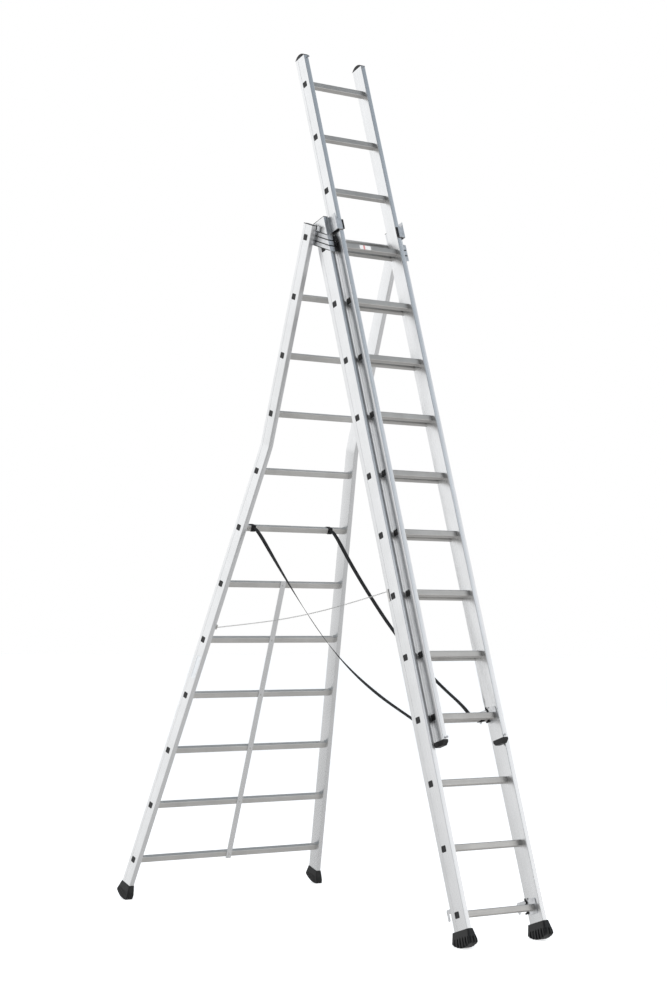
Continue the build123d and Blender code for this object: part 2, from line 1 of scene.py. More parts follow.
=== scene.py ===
"""Finished look of a three-section aluminium combination ladder.

Every size is in metres.  Each ladder section is drawn upright in its own frame, X across the ladder,
Y towards the rear and Z up the stiles, with the bottom rung's axis at the origin, and is then leaned
over to where it stands.
"""
import json
import logging
import math
from dataclasses import dataclass, field
from enum import Enum
from functools import lru_cache

import bmesh
import bpy
import numpy as np
from mathutils import Matrix

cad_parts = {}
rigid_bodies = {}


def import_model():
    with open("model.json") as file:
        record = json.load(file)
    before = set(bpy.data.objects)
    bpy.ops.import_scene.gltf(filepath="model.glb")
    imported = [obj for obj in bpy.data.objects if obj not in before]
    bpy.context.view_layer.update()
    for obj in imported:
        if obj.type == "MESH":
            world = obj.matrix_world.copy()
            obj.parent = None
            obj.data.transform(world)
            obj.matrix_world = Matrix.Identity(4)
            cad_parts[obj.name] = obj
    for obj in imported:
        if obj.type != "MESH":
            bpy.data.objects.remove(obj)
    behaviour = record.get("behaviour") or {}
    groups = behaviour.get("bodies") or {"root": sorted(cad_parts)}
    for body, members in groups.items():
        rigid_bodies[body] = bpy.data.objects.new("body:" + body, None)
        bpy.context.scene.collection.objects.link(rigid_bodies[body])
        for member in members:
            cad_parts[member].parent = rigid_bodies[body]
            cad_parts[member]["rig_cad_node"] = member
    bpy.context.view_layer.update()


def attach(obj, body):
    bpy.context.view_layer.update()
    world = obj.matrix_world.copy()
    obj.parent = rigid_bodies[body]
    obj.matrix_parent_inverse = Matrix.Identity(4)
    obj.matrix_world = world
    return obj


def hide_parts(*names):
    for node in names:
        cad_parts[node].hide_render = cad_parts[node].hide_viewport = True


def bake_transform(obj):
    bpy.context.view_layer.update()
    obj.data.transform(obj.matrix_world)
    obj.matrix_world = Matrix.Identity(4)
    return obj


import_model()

LOG = logging.getLogger("ladder")
RUNG_PITCH = 0.280
RUNG_COUNT = 12
RUNG_HALF = 0.014
TO_THE_RIGHT = np.array([1.0, 0.0, 0.0])
TO_THE_REAR = np.array([0.0, 1.0, 0.0])
UPWARDS = np.array([0.0, 0.0, 1.0])
LABEL_THICKNESS = 0.0003
WAVE_RADIANS = 20.0
CREASE = 32.0
BAND_CREASE = 60.0
STILE_WIDTH = 0.025
SIDES = ("left", "right")
Pair = tuple[float, float]
Triple = tuple[float, float, float]
Colour = Triple
Socket = bpy.types.NodeSocket


# --- Sections: where each one stands ---
@dataclass(frozen=True)
class Section:
    """Upright frame of one ladder section and the place where it stands.

    Attributes:
        body: Name of the CAD body that the section belongs to.
        start: World (y, z) of the bottom rung's axis.
        lean: Degrees that the top leans towards the rear.
    """

    body: str
    start: Pair
    lean: float

    def world(self, points: np.ndarray) -> np.ndarray:
        """Lean points over and move them to where the section stands.

        Args:
            points: Array of any shape whose last axis is (x, y, z) in the section's frame.

        Returns:
            The same points in the shared frame: y and z turn by the lean, and the start is added.
        """
        angle = math.radians(self.lean)
        x, y, z = np.moveaxis(np.asarray(points, float), -1, 0)
        across = self.start[0] + y * math.cos(angle) + z * math.sin(angle)
        up = self.start[1] - y * math.sin(angle) + z * math.cos(angle)
        return np.stack([x, across, up], axis=-1)


FRONT = Section("front_section", (-1.0150, 0.1329), 18.35)
REAR = Section("rear_section", (1.0077, 0.1926), -18.35)
TOP = Section("top_section", tuple(FRONT.world(np.array([0, -0.0535, 0.836]))[1:]), FRONT.lean)


# --- Surfaces worked out on grids ---
class Ends(Enum):
    """How the first and last rings of a carried profile are treated."""

    CAPPED = "a flat face closes each end"
    LOOPED = "the last ring joins the first one"


@dataclass
class Surface:
    """Points and faces of a shape before it becomes a piece.

    Attributes:
        points: Array (n, 3) of places.
        quads: Array (m, 4) of point numbers.
        caps: Point numbers of the faces with more than four corners.
        uv: Array (n, 2) of pattern places in metres, across and along.
    """

    points: np.ndarray
    quads: np.ndarray
    caps: list[np.ndarray] = field(default_factory=list)
    uv: np.ndarray | None = None

    @classmethod
    def tube(cls, rings: np.ndarray, ends: Ends = Ends.CAPPED, uv: np.ndarray | None = None) -> "Surface":
        """Join neighbouring rings with quads, each ring closed on itself.

        Args:
            rings: Array (rows, columns, 3).
            ends: What happens at the first and last rings.
            uv: Array (rows, columns, 2), or None.

        Returns:
            The surface: point (i, j) is joined to (i + 1, j), (i + 1, j + 1) and (i, j + 1).
        """
        rows, columns = rings.shape[:2]
        looped = ends is Ends.LOOPED
        i, j = np.meshgrid(np.arange(rows if looped else rows - 1), np.arange(columns), indexing="ij")
        below, beside = (i + 1) % rows, (j + 1) % columns
        corners = [i * columns + j, i * columns + beside, below * columns + beside, below * columns + j]
        quads = np.stack(corners, axis=-1).reshape(-1, 4)
        ring = np.arange(columns)
        caps = [] if looped else [ring[::-1], (rows - 1) * columns + ring]
        return cls(rings.reshape(-1, 3), quads, caps, None if uv is None else uv.reshape(-1, 2))

    @classmethod
    def repeated(cls, one: "Surface", places: np.ndarray, turns: np.ndarray) -> "Surface":
        """Copy a surface to many places.

        Args:
            one: The surface to copy, about its own origin.
            places: Array (n, 3) of origins.
            turns: Array (n, 3, 3) whose rows are the copy's own X, Y and Z directions.

        Returns:
            All the copies as one surface: point = place + x * X + y * Y + z * Z.
        """
        moved = np.einsum("pk,nkd->npd", one.points, turns) + places[:, None, :]
        shift = (np.arange(len(places)) * len(one.points))[:, None, None]
        quads = (one.quads[None] + shift).reshape(-1, 4)
        caps = [cap + base for base in shift[:, 0, 0] for cap in one.caps]
        uv = None if one.uv is None else np.tile(one.uv, (len(places), 1))
        return cls(moved.reshape(-1, 3), quads, caps, uv)

    @classmethod
    def joined(cls, parts: list["Surface"]) -> "Surface":
        """Put several surfaces into one, side by side."""
        starts = np.cumsum([0] + [len(part.points) for part in parts[:-1]])
        return cls(
            np.concatenate([part.points for part in parts]),
            np.concatenate([part.quads + start for part, start in zip(parts, starts)]),
            [cap + start for part, start in zip(parts, starts) for cap in part.caps],
            None if parts[0].uv is None else np.concatenate([part.uv for part in parts]),
        )

    def mirrored(self) -> "Surface":
        """The same surface on the other side of the ladder's middle."""
        return Surface(self.points * np.array([-1, 1, 1]), self.quads[:, ::-1],
                       [cap[::-1] for cap in self.caps], self.uv)

    def doubled(self) -> "Surface":
        """The surface and its mirror image as one."""
        return Surface.joined([self, self.mirrored()])

    def sides(self) -> tuple[tuple[str, "Surface"], ...]:
        """The surface as the right side's, and its mirror image as the left side's."""
        return ("right", self), ("left", self.mirrored())

    def placed(self, section: Section) -> "Surface":
        """The same surface leaned over with its section."""
        return Surface(section.world(self.points), self.quads, self.caps, self.uv)

    def piece(self, name: str, crease: float = CREASE) -> bpy.types.Object:
        """Turn the surface into a mesh object at the origin.

        Args:
            name: Name of the piece.
            crease: Degrees above which an edge stays sharp in the shading.

        Returns:
            The object, with its faces pointing outwards.
        """
        mesh = bpy.data.meshes.new(name)
        faces = self.quads.tolist() + [cap.tolist() for cap in self.caps]
        mesh.from_pydata(self.points.tolist(), [], faces)
        if self.uv is not None:
            corner = np.empty(len(mesh.loops), np.int32)
            mesh.loops.foreach_get("vertex_index", corner)
            places = self.uv[corner].astype(np.float32).ravel()
            mesh.uv_layers.new(name="pattern").data.foreach_set("uv", places)
        work = bmesh.new()
        work.from_mesh(mesh)
        bmesh.ops.recalc_face_normals(work, faces=work.faces)
        return shown(name, mesh, work, crease)


def linked(item: bpy.types.Object) -> bpy.types.Object:
    """Put an object into the scene."""
    bpy.context.scene.collection.objects.link(item)
    return item


def shown(name: str, mesh: bpy.types.Mesh, work: bmesh.types.BMesh, crease: float) -> bpy.types.Object:
    """Object at the origin with the worked mesh, smooth except where an edge is sharper than the crease."""
    work.to_mesh(mesh)
    work.free()
    mesh.shade_smooth()
    mesh.set_sharp_from_angle(angle=math.radians(crease))
    return linked(bpy.data.objects.new(name, mesh))


def lengths(path: np.ndarray) -> np.ndarray:
    """Length along a path of points at each point, from 0."""
    return np.concatenate([[0], np.cumsum(np.linalg.norm(np.diff(path, axis=0), axis=1))])


def read_at(path: np.ndarray, marks: np.ndarray, at: np.ndarray) -> np.ndarray:
    """Points of a path, read straight between its own points, whose places along it are the marks."""
    return np.stack([np.interp(at, marks, column) for column in path.T], axis=-1)


def rounded_rectangle(half_x: float, half_y: float, radius: float, count: int) -> np.ndarray:
    """Outline of a rectangle with quarter-circle corners, evenly spaced along its length.

    Args:
        half_x: Half of the size along the first axis.
        half_y: Half of the size along the second axis.
        radius: Radius of the four corners.
        count: Number of points.

    Returns:
        Array (count, 2): corner centre plus radius times (cos, sin), then read off at equal steps of length.
    """
    turn = np.linspace(0, math.pi / 2, 9)
    signs = np.array([(1, 1), (-1, 1), (-1, -1), (1, -1)])
    centres = np.repeat(signs * np.array([half_x - radius, half_y - radius]), 9, axis=0)
    angles = (turn[None] + np.arange(4)[:, None] * math.pi / 2).ravel()
    dense = centres + radius * np.stack([np.cos(angles), np.sin(angles)], axis=-1)
    dense = np.vstack([dense, dense[:1]])
    length = lengths(dense)
    return read_at(dense, length, np.linspace(0, length[-1], count, endpoint=False))


def circle(radius: float, count: int) -> np.ndarray:
    """Array (count, 2) of radius times (cos, sin)."""
    angle = np.linspace(0, 2 * math.pi, count, endpoint=False)
    return radius * np.stack([np.cos(angle), np.sin(angle)], axis=-1)


def directions(path: np.ndarray, across: np.ndarray, looped: bool = False) -> tuple[np.ndarray, ...]:
    """Three square directions at each point of a path.

    Args:
        path: Array (n, 3).
        across: Rough sideways direction, one or one for each point.
        looped: Whether the path's last point comes before its first.

    Returns:
        Arrays (n, 3) of the way along, the sideways direction squared to it, and their cross product.
    """
    if looped:
        along = np.roll(path, -1, axis=0) - np.roll(path, 1, axis=0)
    else:
        along = np.gradient(path, axis=0)
    along = along / np.linalg.norm(along, axis=1, keepdims=True)
    side = np.broadcast_to(across, along.shape)
    side = side - (side * along).sum(1)[:, None] * along
    side = side / np.linalg.norm(side, axis=1, keepdims=True)
    return along, side, np.cross(along, side)


def carried(profile: np.ndarray, path: np.ndarray, across: np.ndarray, ends: Ends = Ends.CAPPED) -> Surface:
    """Carry an outline along a path.

    Args:
        profile: Array (columns, 2) of the outline, sideways and square to it.
        path: Array (rows, 3).
        across: Rough sideways direction.
        ends: What happens at the path's ends.

    Returns:
        The surface: point = path + first * side + second * (along x side), patterned across and along.
    """
    _, side, up = directions(path, across, ends is Ends.LOOPED)
    rings = path[:, None] + profile[None, :, :1] * side[:, None] + profile[None, :, 1:] * up[:, None]
    uv = np.stack(np.broadcast_arrays(profile[None, :, 0], lengths(path)[:, None]), axis=-1)
    return Surface.tube(rings, ends, uv)


def turned(profile: np.ndarray, count: int) -> Surface:
    """Turn a (radius, height) outline round the Z axis.

    Args:
        profile: Array (rows, 2) of radius and height.
        count: Number of points round the axis.

    Returns:
        The surface: (radius * cos, radius * sin, height).
    """
    around = circle(1.0, count)
    rings = np.concatenate([
        profile[:, None, :1] * around[None],
        np.broadcast_to(profile[:, None, 1:], (len(profile), count, 1)),
    ], axis=-1)
    return Surface.tube(rings)


def spline_path(route: list[Triple], spacing: float) -> np.ndarray:
    """Points read from the smooth spline that a route controls.

    Args:
        route: Control points in the shared frame.
        spacing: Rough distance between the points read.

    Returns:
        Array (n, 3) of points at equal steps along the spline.
    """
    curve = bpy.data.curves.new("route", "CURVE")
    curve.dimensions = "3D"
    curve.resolution_u = 32
    spline = curve.splines.new("NURBS")
    spline.points.add(len(route) - 1)
    spline.points.foreach_set("co", np.hstack([route, np.ones((len(route), 1))]).ravel())
    spline.order_u = 3
    spline.use_endpoint_u = True
    holder = linked(bpy.data.objects.new("route", curve))
    bpy.context.view_layer.update()
    read = bpy.data.meshes.new_from_object(holder)
    dense = np.empty(len(read.vertices) * 3)
    read.vertices.foreach_get("co", dense)
    dense = dense.reshape(-1, 3)
    bpy.data.objects.remove(holder)
    bpy.data.curves.remove(curve)
    bpy.data.meshes.remove(read)
    length = lengths(dense)
    return read_at(dense, length, np.linspace(0, length[-1], max(8, round(length[-1] / spacing))))


def path_length(path: np.ndarray) -> float:
    """Length of a path of points."""
    return float(np.linalg.norm(np.diff(path, axis=0), axis=1).sum())


# --- Finishes ---
def wire(tree: bpy.types.NodeTree, node: bpy.types.Node, inputs: dict) -> bpy.types.Node:
    """Set a node's inputs.

    Args:
        tree: The tree that the node is in.
        node: The node.
        inputs: A constant or another node's output for each input's name or number.

    Returns:
        The node.
    """
    for key, value in inputs.items():
        if isinstance(value, Socket):
            tree.links.new(value, node.inputs[key])
        else:
            node.inputs[key].default_value = value
    return node


class Shader:
    """Node tree of one material, with short calls for the nodes it uses."""

    def __init__(self, name: str, metallic: float, specular: float = 0.5) -> None:
        """Start a material whose metallic and specular values are the same all over."""
        self.material = bpy.data.materials.new(name)
        self.material.use_nodes = True
        self.tree = self.material.node_tree
        self.surface = next(node for node in self.tree.nodes if node.type == "BSDF_PRINCIPLED")
        self.set(self.surface, {"Metallic": metallic, "Specular IOR Level": specular})

    def set(self, node: bpy.types.Node, inputs: dict) -> bpy.types.Node:
        """Set the inputs of a node of this material."""
        return wire(self.tree, node, inputs)

    def mapped(self, where: Socket, scale: Triple, lean: float) -> Socket:
        """Coordinates turned upright about X by the lean's degrees and divided by a scale."""
        node = self.tree.nodes.new("ShaderNodeMapping")
        node.vector_type = "TEXTURE"
        turn = (math.radians(-lean), 0, 0)
        return self.set(node, {"Vector": where, "Rotation": turn, "Scale": scale}).outputs["Vector"]

    def place(self, cell: float | Triple, lean: float = 0.0) -> Socket:
        """Object coordinates turned upright and divided by a cell size in metres."""
        where = self.tree.nodes.new("ShaderNodeTexCoord")
        return self.mapped(where.outputs["Object"], cell if isinstance(cell, tuple) else (cell,) * 3, lean)

    def pattern(self, cell: Pair) -> Socket:
        """The piece's own pattern map divided by a cell size in metres."""
        where = self.tree.nodes.new("ShaderNodeUVMap")
        where.uv_map = "pattern"
        return self.mapped(where.outputs["UV"], (*cell, 1.0), 0.0)

    def noise(self, where: Socket, detail: float = 3.0, roughness: float = 0.55) -> Socket:
        """Soft noise with one cell to each unit."""
        node = self.tree.nodes.new("ShaderNodeTexNoise")
        inputs = {"Scale": 1.0, "Detail": detail, "Roughness": roughness, "Vector": where}
        return self.set(node, inputs).outputs["Fac"]

    def wave(self, where: Socket, direction: str) -> Socket:
        """Sine bands along X or Y, whose sine turns WAVE_RADIANS in each unit."""
        node = self.tree.nodes.new("ShaderNodeTexWave")
        node.bands_direction = direction
        return self.set(node, {"Scale": 1.0, "Vector": where}).outputs["Fac"]

    def spread(self, value: Socket, low: float, high: float, to_low: float, to_high: float) -> Socket:
        """Spread a value's range from low and high to two new ends, and stop there."""
        node = self.tree.nodes.new("ShaderNodeMapRange")
        return self.set(node, dict(enumerate((value, low, high, to_low, to_high)))).outputs[0]

    def times(self, first: Socket, second: Socket) -> Socket:
        """Product of two values."""
        node = self.tree.nodes.new("ShaderNodeMath")
        node.operation = "MULTIPLY"
        return self.set(node, {0: first, 1: second}).outputs[0]

    def mix(self, share: Socket, first: Colour | Socket, second: Colour | Socket) -> Socket:
        """Colour that goes from the first to the second as the share goes from 0 to 1."""
        node = self.tree.nodes.new("ShaderNodeMix")
        node.data_type = "RGBA"
        ends = [end if isinstance(end, Socket) else (*end, 1.0) for end in (first, second)]
        return self.set(node, {"Factor": share, 6: ends[0], 7: ends[1]}).outputs[2]

    def cover(self, colour: Socket, roughness: Socket) -> None:
        """Use a colour and a roughness as the surface's own."""
        self.set(self.surface, {"Base Color": colour, "Roughness": roughness})

    def bump(self, height: Socket, depth: float, strength: float) -> None:
        """Raise the surface by depth metres where the height is 1."""
        node = self.tree.nodes.new("ShaderNodeBump")
        self.set(node, {"Distance": depth, "Strength": strength, "Height": height})
        self.set(self.surface, {"Normal": node.outputs["Normal"]})


def worn(colour: Colour, share: float) -> Colour:
    """The colour darkened to a share of itself."""
    return tuple(share * part for part in colour)


@dataclass(frozen=True)
class Finish:
    """Look of one kind of surface, and the name of a slot in the record."""

    name: str
    slot: str

    def shader(self) -> Shader:
        """Build the finish's nodes."""
        raise NotImplementedError


@dataclass(frozen=True)
class Extruded(Finish):
    """Satin aluminium with drawing lines along the bar, cloudy oxide and a few rubbed marks.

    Attributes:
        bright: Colour where the metal is clean.
        dull: Colour where the oxide is thickest.
        grain: Size in metres of one drawing line in X, Y and Z of the section's frame.
        lean: Degrees that the section leans.
        gloss: Lowest and highest roughness.
    """

    bright: Colour
    dull: Colour
    grain: Triple
    lean: float
    gloss: Pair
    cloud_size: float = 0.13
    mark_size: float = 0.012

    def shader(self) -> Shader:
        """Fine lines shift colour, roughness and height, and a slow cloud dulls patches."""
        shader = Shader(self.name, metallic=1.0)
        lines = shader.noise(shader.place(self.grain, self.lean), detail=4.0, roughness=0.7)
        cloud = shader.noise(shader.place(self.cloud_size, self.lean), detail=5.0, roughness=0.6)
        marks = shader.noise(shader.place(self.mark_size, self.lean), detail=6.0, roughness=0.75)
        clean = shader.spread(cloud, 0.32, 0.62, 0.0, 1.0)
        lit = shader.mix(shader.spread(lines, 0.3, 0.7, 0.0, 1.0), self.dull, self.bright)
        dulled = shader.mix(clean, self.dull, lit)
        spots = shader.spread(marks, 0.66, 0.78, 0.0, 0.35)
        shader.cover(shader.mix(spots, dulled, worn(self.dull, 0.72)),
                     shader.spread(lines, 0.25, 0.75, self.gloss[1], self.gloss[0]))
        shader.bump(lines, depth=0.00004, strength=0.6)
        return shader


@dataclass(frozen=True)
class Plate(Finish):
    """Stamped sheet or turned metal with a fine random scratch pattern."""

    tint: Colour
    gloss: Pair
    scratch: Triple = (0.0011, 0.0011, 0.004)
    stain_size: float = 0.02

    def shader(self) -> Shader:
        """Small scratches in two sizes shift colour and roughness."""
        shader = Shader(self.name, metallic=1.0)
        fine = shader.noise(shader.place(self.scratch), detail=4.0, roughness=0.7)
        stain = shader.noise(shader.place(self.stain_size), detail=4.0)
        shader.cover(shader.mix(shader.spread(stain, 0.35, 0.65, 0.0, 1.0), worn(self.tint, 0.78), self.tint),
                     shader.spread(fine, 0.3, 0.7, *self.gloss))
        shader.bump(fine, depth=0.00003, strength=0.5)
        return shader


@dataclass(frozen=True)
class Moulded(Finish):
    """Moulded plastic or rubber with a fine spark-eroded grain and a little dust.

    Attributes:
        base: Colour of the material.
        dust: Colour where it is scuffed.
        grain: Size of the moulded grain in metres.
        gloss: Lowest and highest roughness.
    """

    base: Colour
    dust: Colour
    grain: float
    gloss: Pair
    patch_size: float = 0.016

    def shader(self) -> Shader:
        """Moulded grain in the height, and dust in slow patches."""
        shader = Shader(self.name, metallic=0.0, specular=0.45)
        grain = shader.noise(shader.place(self.grain), detail=2.0)
        patch = shader.noise(shader.place(self.patch_size), detail=6.0, roughness=0.65)
        shader.cover(shader.mix(shader.spread(patch, 0.48, 0.8, 0.0, 1.0), self.base, self.dust),
                     shader.spread(patch, 0.3, 0.7, *self.gloss))
        shader.bump(grain, depth=0.00012, strength=0.7)
        return shader


@dataclass(frozen=True)
class Woven(Finish):
    """Black polyester webbing: ribs across the band and twill along it, with the raised yarns painted lighter
    as a painted highlight.

    Attributes:
        yarn: Colour of the yarn.
        painted_sheen: Lighter colour painted on the raised yarns: a painted highlight for the light that they
            catch.
        rib: Distance between ribs.
        twill: Distance between yarns.
    """

    yarn: Colour
    painted_sheen: Colour
    rib: float = 0.0008
    twill: float = 0.00056
    fuzz_size: float = 0.006

    def shader(self) -> Shader:
        """Two sets of bands on the piece's own pattern make the ribs and the yarns between them; the raised
        yarns get the painted highlight.
        """
        shader = Shader(self.name, metallic=0.0, specular=0.35)
        bands_to_cell = WAVE_RADIANS / (2 * math.pi)
        bands = shader.pattern((self.twill * bands_to_cell, self.rib * bands_to_cell))
        weave = shader.times(shader.wave(bands, "Y"), shader.wave(bands, "X"))
        fuzz = shader.noise(shader.place(self.fuzz_size), detail=5.0)
        # Painted highlight: the raised yarns are mixed towards a lighter colour for the light that they
        # catch.
        weave_with_painted_sheen = shader.mix(shader.spread(weave, 0.1, 0.8, 0.0, 1.0), self.yarn, self.painted_sheen)
        shader.cover(shader.mix(shader.spread(fuzz, 0.35, 0.7, 0.0, 0.6), weave_with_painted_sheen, self.yarn),
                     shader.spread(weave, 0.0, 1.0, 0.85, 0.6))
        shader.bump(weave, depth=0.0004, strength=0.8)
        shader.set(shader.surface, {"Sheen Weight": 0.05})
        return shader


@dataclass(frozen=True)
class Printed(Finish):
    """Plain self-adhesive label: a pale field with one coloured band and no lettering.

    Attributes:
        field_colour: Colour of the label.
        band_colour: Colour of the band.
        band: Where the band starts and ends, from the label's middle.
        blur: Half of the width over which the band's edge fades.
    """

    field_colour: Colour
    band_colour: Colour
    band: Pair
    blur: float = 0.0003

    def shader(self) -> Shader:
        """The band lies between two places along the label's own pattern map."""
        shader = Shader(self.name, metallic=0.0)
        split = shader.tree.nodes.new("ShaderNodeSeparateXYZ")
        across = shader.set(split, {0: shader.pattern((1.0, 1.0))}).outputs[0]
        first, last = self.band
        edge = shader.times(shader.spread(across, first - self.blur, first + self.blur, 0.0, 1.0),
                            shader.spread(across, last - self.blur, last + self.blur, 1.0, 0.0))
        faded = shader.noise(shader.place(0.01))
        print_colour = shader.mix(edge, self.field_colour, self.band_colour)
        shader.cover(shader.mix(shader.spread(faded, 0.3, 0.8, 0.0, 0.2), print_colour, (0.5, 0.5, 0.5)),
                     shader.spread(faded, 0.3, 0.7, 0.3, 0.5))
        return shader


@lru_cache(maxsize=None)
def material(finish: Finish) -> bpy.types.Material:
    """The finish's material, made once."""
    return finish.shader().material


FRONT_STILE, REAR_STILE = (
    Extruded(f"satin_stile_{name}", "stile_aluminium", (0.93, 0.935, 0.945), (0.84, 0.845, 0.85),
             (0.0022, 0.0022, 0.9), section.lean, (0.22, 0.34))
    for name, section in (("front", FRONT), ("rear", REAR))
)
# Two copies of one rung aluminium. The front and top rungs are darkened as painted shade, standing for the
# dark surroundings that their ribs reflect. The rear rungs get a lighter copy.
SHADED_RUNG, LIGHTER_REAR_RUNG = (
    Extruded(name, "rung_aluminium", bright, dull, (0.7, 0.0016, 0.0016), 0.0, (0.34, 0.5))
    for name, bright, dull in (("ribbed_rung_painted_shade", (0.74, 0.725, 0.70), (0.58, 0.565, 0.545)),
                               ("ribbed_rear_rung_painted_lighter", (0.80, 0.79, 0.77), (0.66, 0.65, 0.63)))
)
LIGHT_PLATE = Plate("stamped_aluminium", "stile_aluminium", (0.86, 0.87, 0.885), (0.28, 0.42))
GREY_PLATE = Plate("stamped_grey_steel", "steel", (0.62, 0.625, 0.64), (0.3, 0.45))
ZINC = Plate("zinc_plated_steel", "steel", (0.78, 0.77, 0.75), (0.2, 0.36))
BLACK_PLASTIC = Moulded("moulded_black_plastic", "black_plastic", (0.006, 0.006, 0.0065),
                        (0.018, 0.018, 0.0175), 0.0009, (0.32, 0.5))
RUBBER = Moulded("moulded_rubber", "rubber", (0.005, 0.005, 0.0055), (0.022, 0.022, 0.021), 0.0012,
                 (0.34, 0.55))
WEBBING = Woven("black_webbing", "webbing", (0.004, 0.004, 0.0045), (0.014, 0.014, 0.016))
RUNG_LABEL = Printed("rung_label_print", "black_plastic", (0.85, 0.85, 0.84), (0.72, 0.30, 0.30),
                     (-0.012, -0.001))
STILE_LABEL = Printed("stile_label_print", "black_plastic", (0.86, 0.87, 0.88), (0.62, 0.64, 0.66),
                      (0.010, 0.030))


# --- Fitting pieces to the ladder ---
def cad_object(node: str) -> bpy.types.Object:
    """The CAD object of a node."""
    return next(item for item in bpy.context.scene.objects if item.get("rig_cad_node") == node)


def dress(item: bpy.types.Object, finish: Finish) -> None:
    """Give an object one finish in all its material slots."""
    if not item.material_slots:
        item.data.materials.append(None)
    for slot in item.material_slots:
        slot.material = material(finish)


def keep(nodes: list[str], finish: Finish) -> None:
    """Keep CAD nodes as they are and give them a finish."""
    for node in nodes:
        dress(cad_object(node), finish)
        LOG.info("kept %s in %s", node, finish.name)


def fit(item: bpy.types.Object, finish: Finish, body: str, nodes: list[str]) -> bpy.types.Object:
    """Dress a piece, fix it to a body and let it stand for CAD nodes.

    Args:
        item: The piece.
        finish: Its finish, which also names the record's slot.
        body: The CAD body that it moves with.
        nodes: The CAD nodes that it stands for, if any.

    Returns:
        The piece.
    """
    dress(item, finish)
    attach(item, body)
    if nodes:
        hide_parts(*nodes)
    LOG.info("made %s in %s on %s", item.name, finish.name, body)
    return item


def soften(node: str, name: str, finish: Finish, body: str, width: float) -> bpy.types.Object:
    """Stand a copy of a CAD node with rolled edges in for the node.

    Args:
        node: The CAD node.
        name: Name of the new piece.
        finish: Its finish.
        body: The CAD body that it moves with.
        width: Width of the rolled edge.

    Returns:
        The piece: the node's mesh with its doubles merged, its flat faces joined and its edges bevelled.
    """
    source = cad_object(node)
    mesh = bpy.data.meshes.new(name)
    work = bmesh.new()
    work.from_mesh(source.data)
    bmesh.ops.remove_doubles(work, verts=work.verts, dist=1e-6)
    bmesh.ops.dissolve_limit(work, angle_limit=math.radians(1.0), verts=work.verts, edges=work.edges)
    item = shown(name, mesh, work, CREASE)
    bevel = item.modifiers.new("rolled_edges", "BEVEL")
    bevel.width = width
    bevel.segments = 2
    bevel.limit_method = "ANGLE"
    bevel.angle_limit = math.radians(CREASE)
    bevel.harden_normals = True
    return fit(item, finish, body, [node])


# --- Shapes that the sections share ---
@dataclass(frozen=True)
class Stile:
    """Box-section stile with rolled corners and one fine groove down its outer face.

    Attributes:
        section: Section that it belongs to.
        half: Half of the ladder's outside width where the stile is straight.
        ends: Lowest and highest point along the stile.
        bend: Height below which the stile flares outwards.
        flare: Degrees of the flare.
        bend_reach: How far the bend's curve reaches up and down from the bend.
        depth: Front and rear of the stile along Y.
    """

    section: Section
    half: float
    ends: Pair
    bend: float = 0.0
    flare: float = 0.0
    bend_reach: float = 0.03
    depth: Pair = (-0.035, 0.035)
    corner: float = 0.0022
    groove: Pair = (0.015, 0.017)
    groove_depth: float = 0.0008

    def outside(self, height: np.ndarray) -> np.ndarray:
        """Distance of the outer face from the middle: half, plus the flare below the bend."""
        return self.half + np.maximum(0.0, self.bend - height) * math.tan(math.radians(self.flare))

    def outline(self) -> np.ndarray:
        """Section of the right stile about its own middle, with the groove in its outer face.

        Returns:
            Array (n, 2): four quarter-circle corners, with the groove's four corners put in on the +X side.
        """
        turn = np.linspace(0, math.pi / 2, 5)
        arc = self.corner * np.stack([np.cos(turn), np.sin(turn)], axis=-1)
        front, rear = self.depth
        reach = np.array([STILE_WIDTH / 2 - self.corner, (rear - front) / 2 - self.corner])
        low, high = np.array(self.groove) - (front + rear) / 2
        face = STILE_WIDTH / 2
        slope = self.groove_depth / 2
        groove = np.array([(face, low), (face - self.groove_depth, low + slope),
                           (face - self.groove_depth, high - slope), (face, high)])
        quarter = np.array([[0, 1], [-1, 0]])
        corners = []
        for index, (sign_x, sign_y) in enumerate(((1, -1), (1, 1), (-1, 1), (-1, -1))):
            turned_arc = arc @ np.linalg.matrix_power(quarter, (index + 3) % 4)
            corners.append(turned_arc + reach * np.array([sign_x, sign_y]))
            if index == 0:
                corners.append(groove)
        return np.concatenate(corners)

    def surface(self) -> Surface:
        """The right stile: its outline carried up, shifted with the outer face's distance."""
        low, high = self.ends
        heights = np.array([low, high])
        if self.flare:
            curve = self.bend + np.linspace(-self.bend_reach, self.bend_reach, 7)
            heights = np.concatenate([[low], curve, [high]])
        centre = self.outside(heights) - STILE_WIDTH / 2
        if self.flare:
            padded = np.pad(centre[1:-1], 1, mode="edge")
            centre[1:-1] = np.convolve(padded, [0.25, 0.5, 0.25], mode="valid")
        outline = self.outline()
        rings = np.empty((len(heights), len(outline), 3))
        rings[..., 0] = centre[:, None] + outline[:, 0]
        rings[..., 1] = outline[:, 1] + sum(self.depth) / 2
        rings[..., 2] = heights[:, None]
        return Surface.tube(rings)

    def build(self, prefix: str, finish: Finish) -> None:
        """Make the left and right stiles."""
        for side, surface in self.surface().sides():
            piece = surface.placed(self.section).piece(f"{prefix}_stile_{side}_extrusion")
            fit(piece, finish, self.section.body, [f"{prefix}_stile_{side}"])


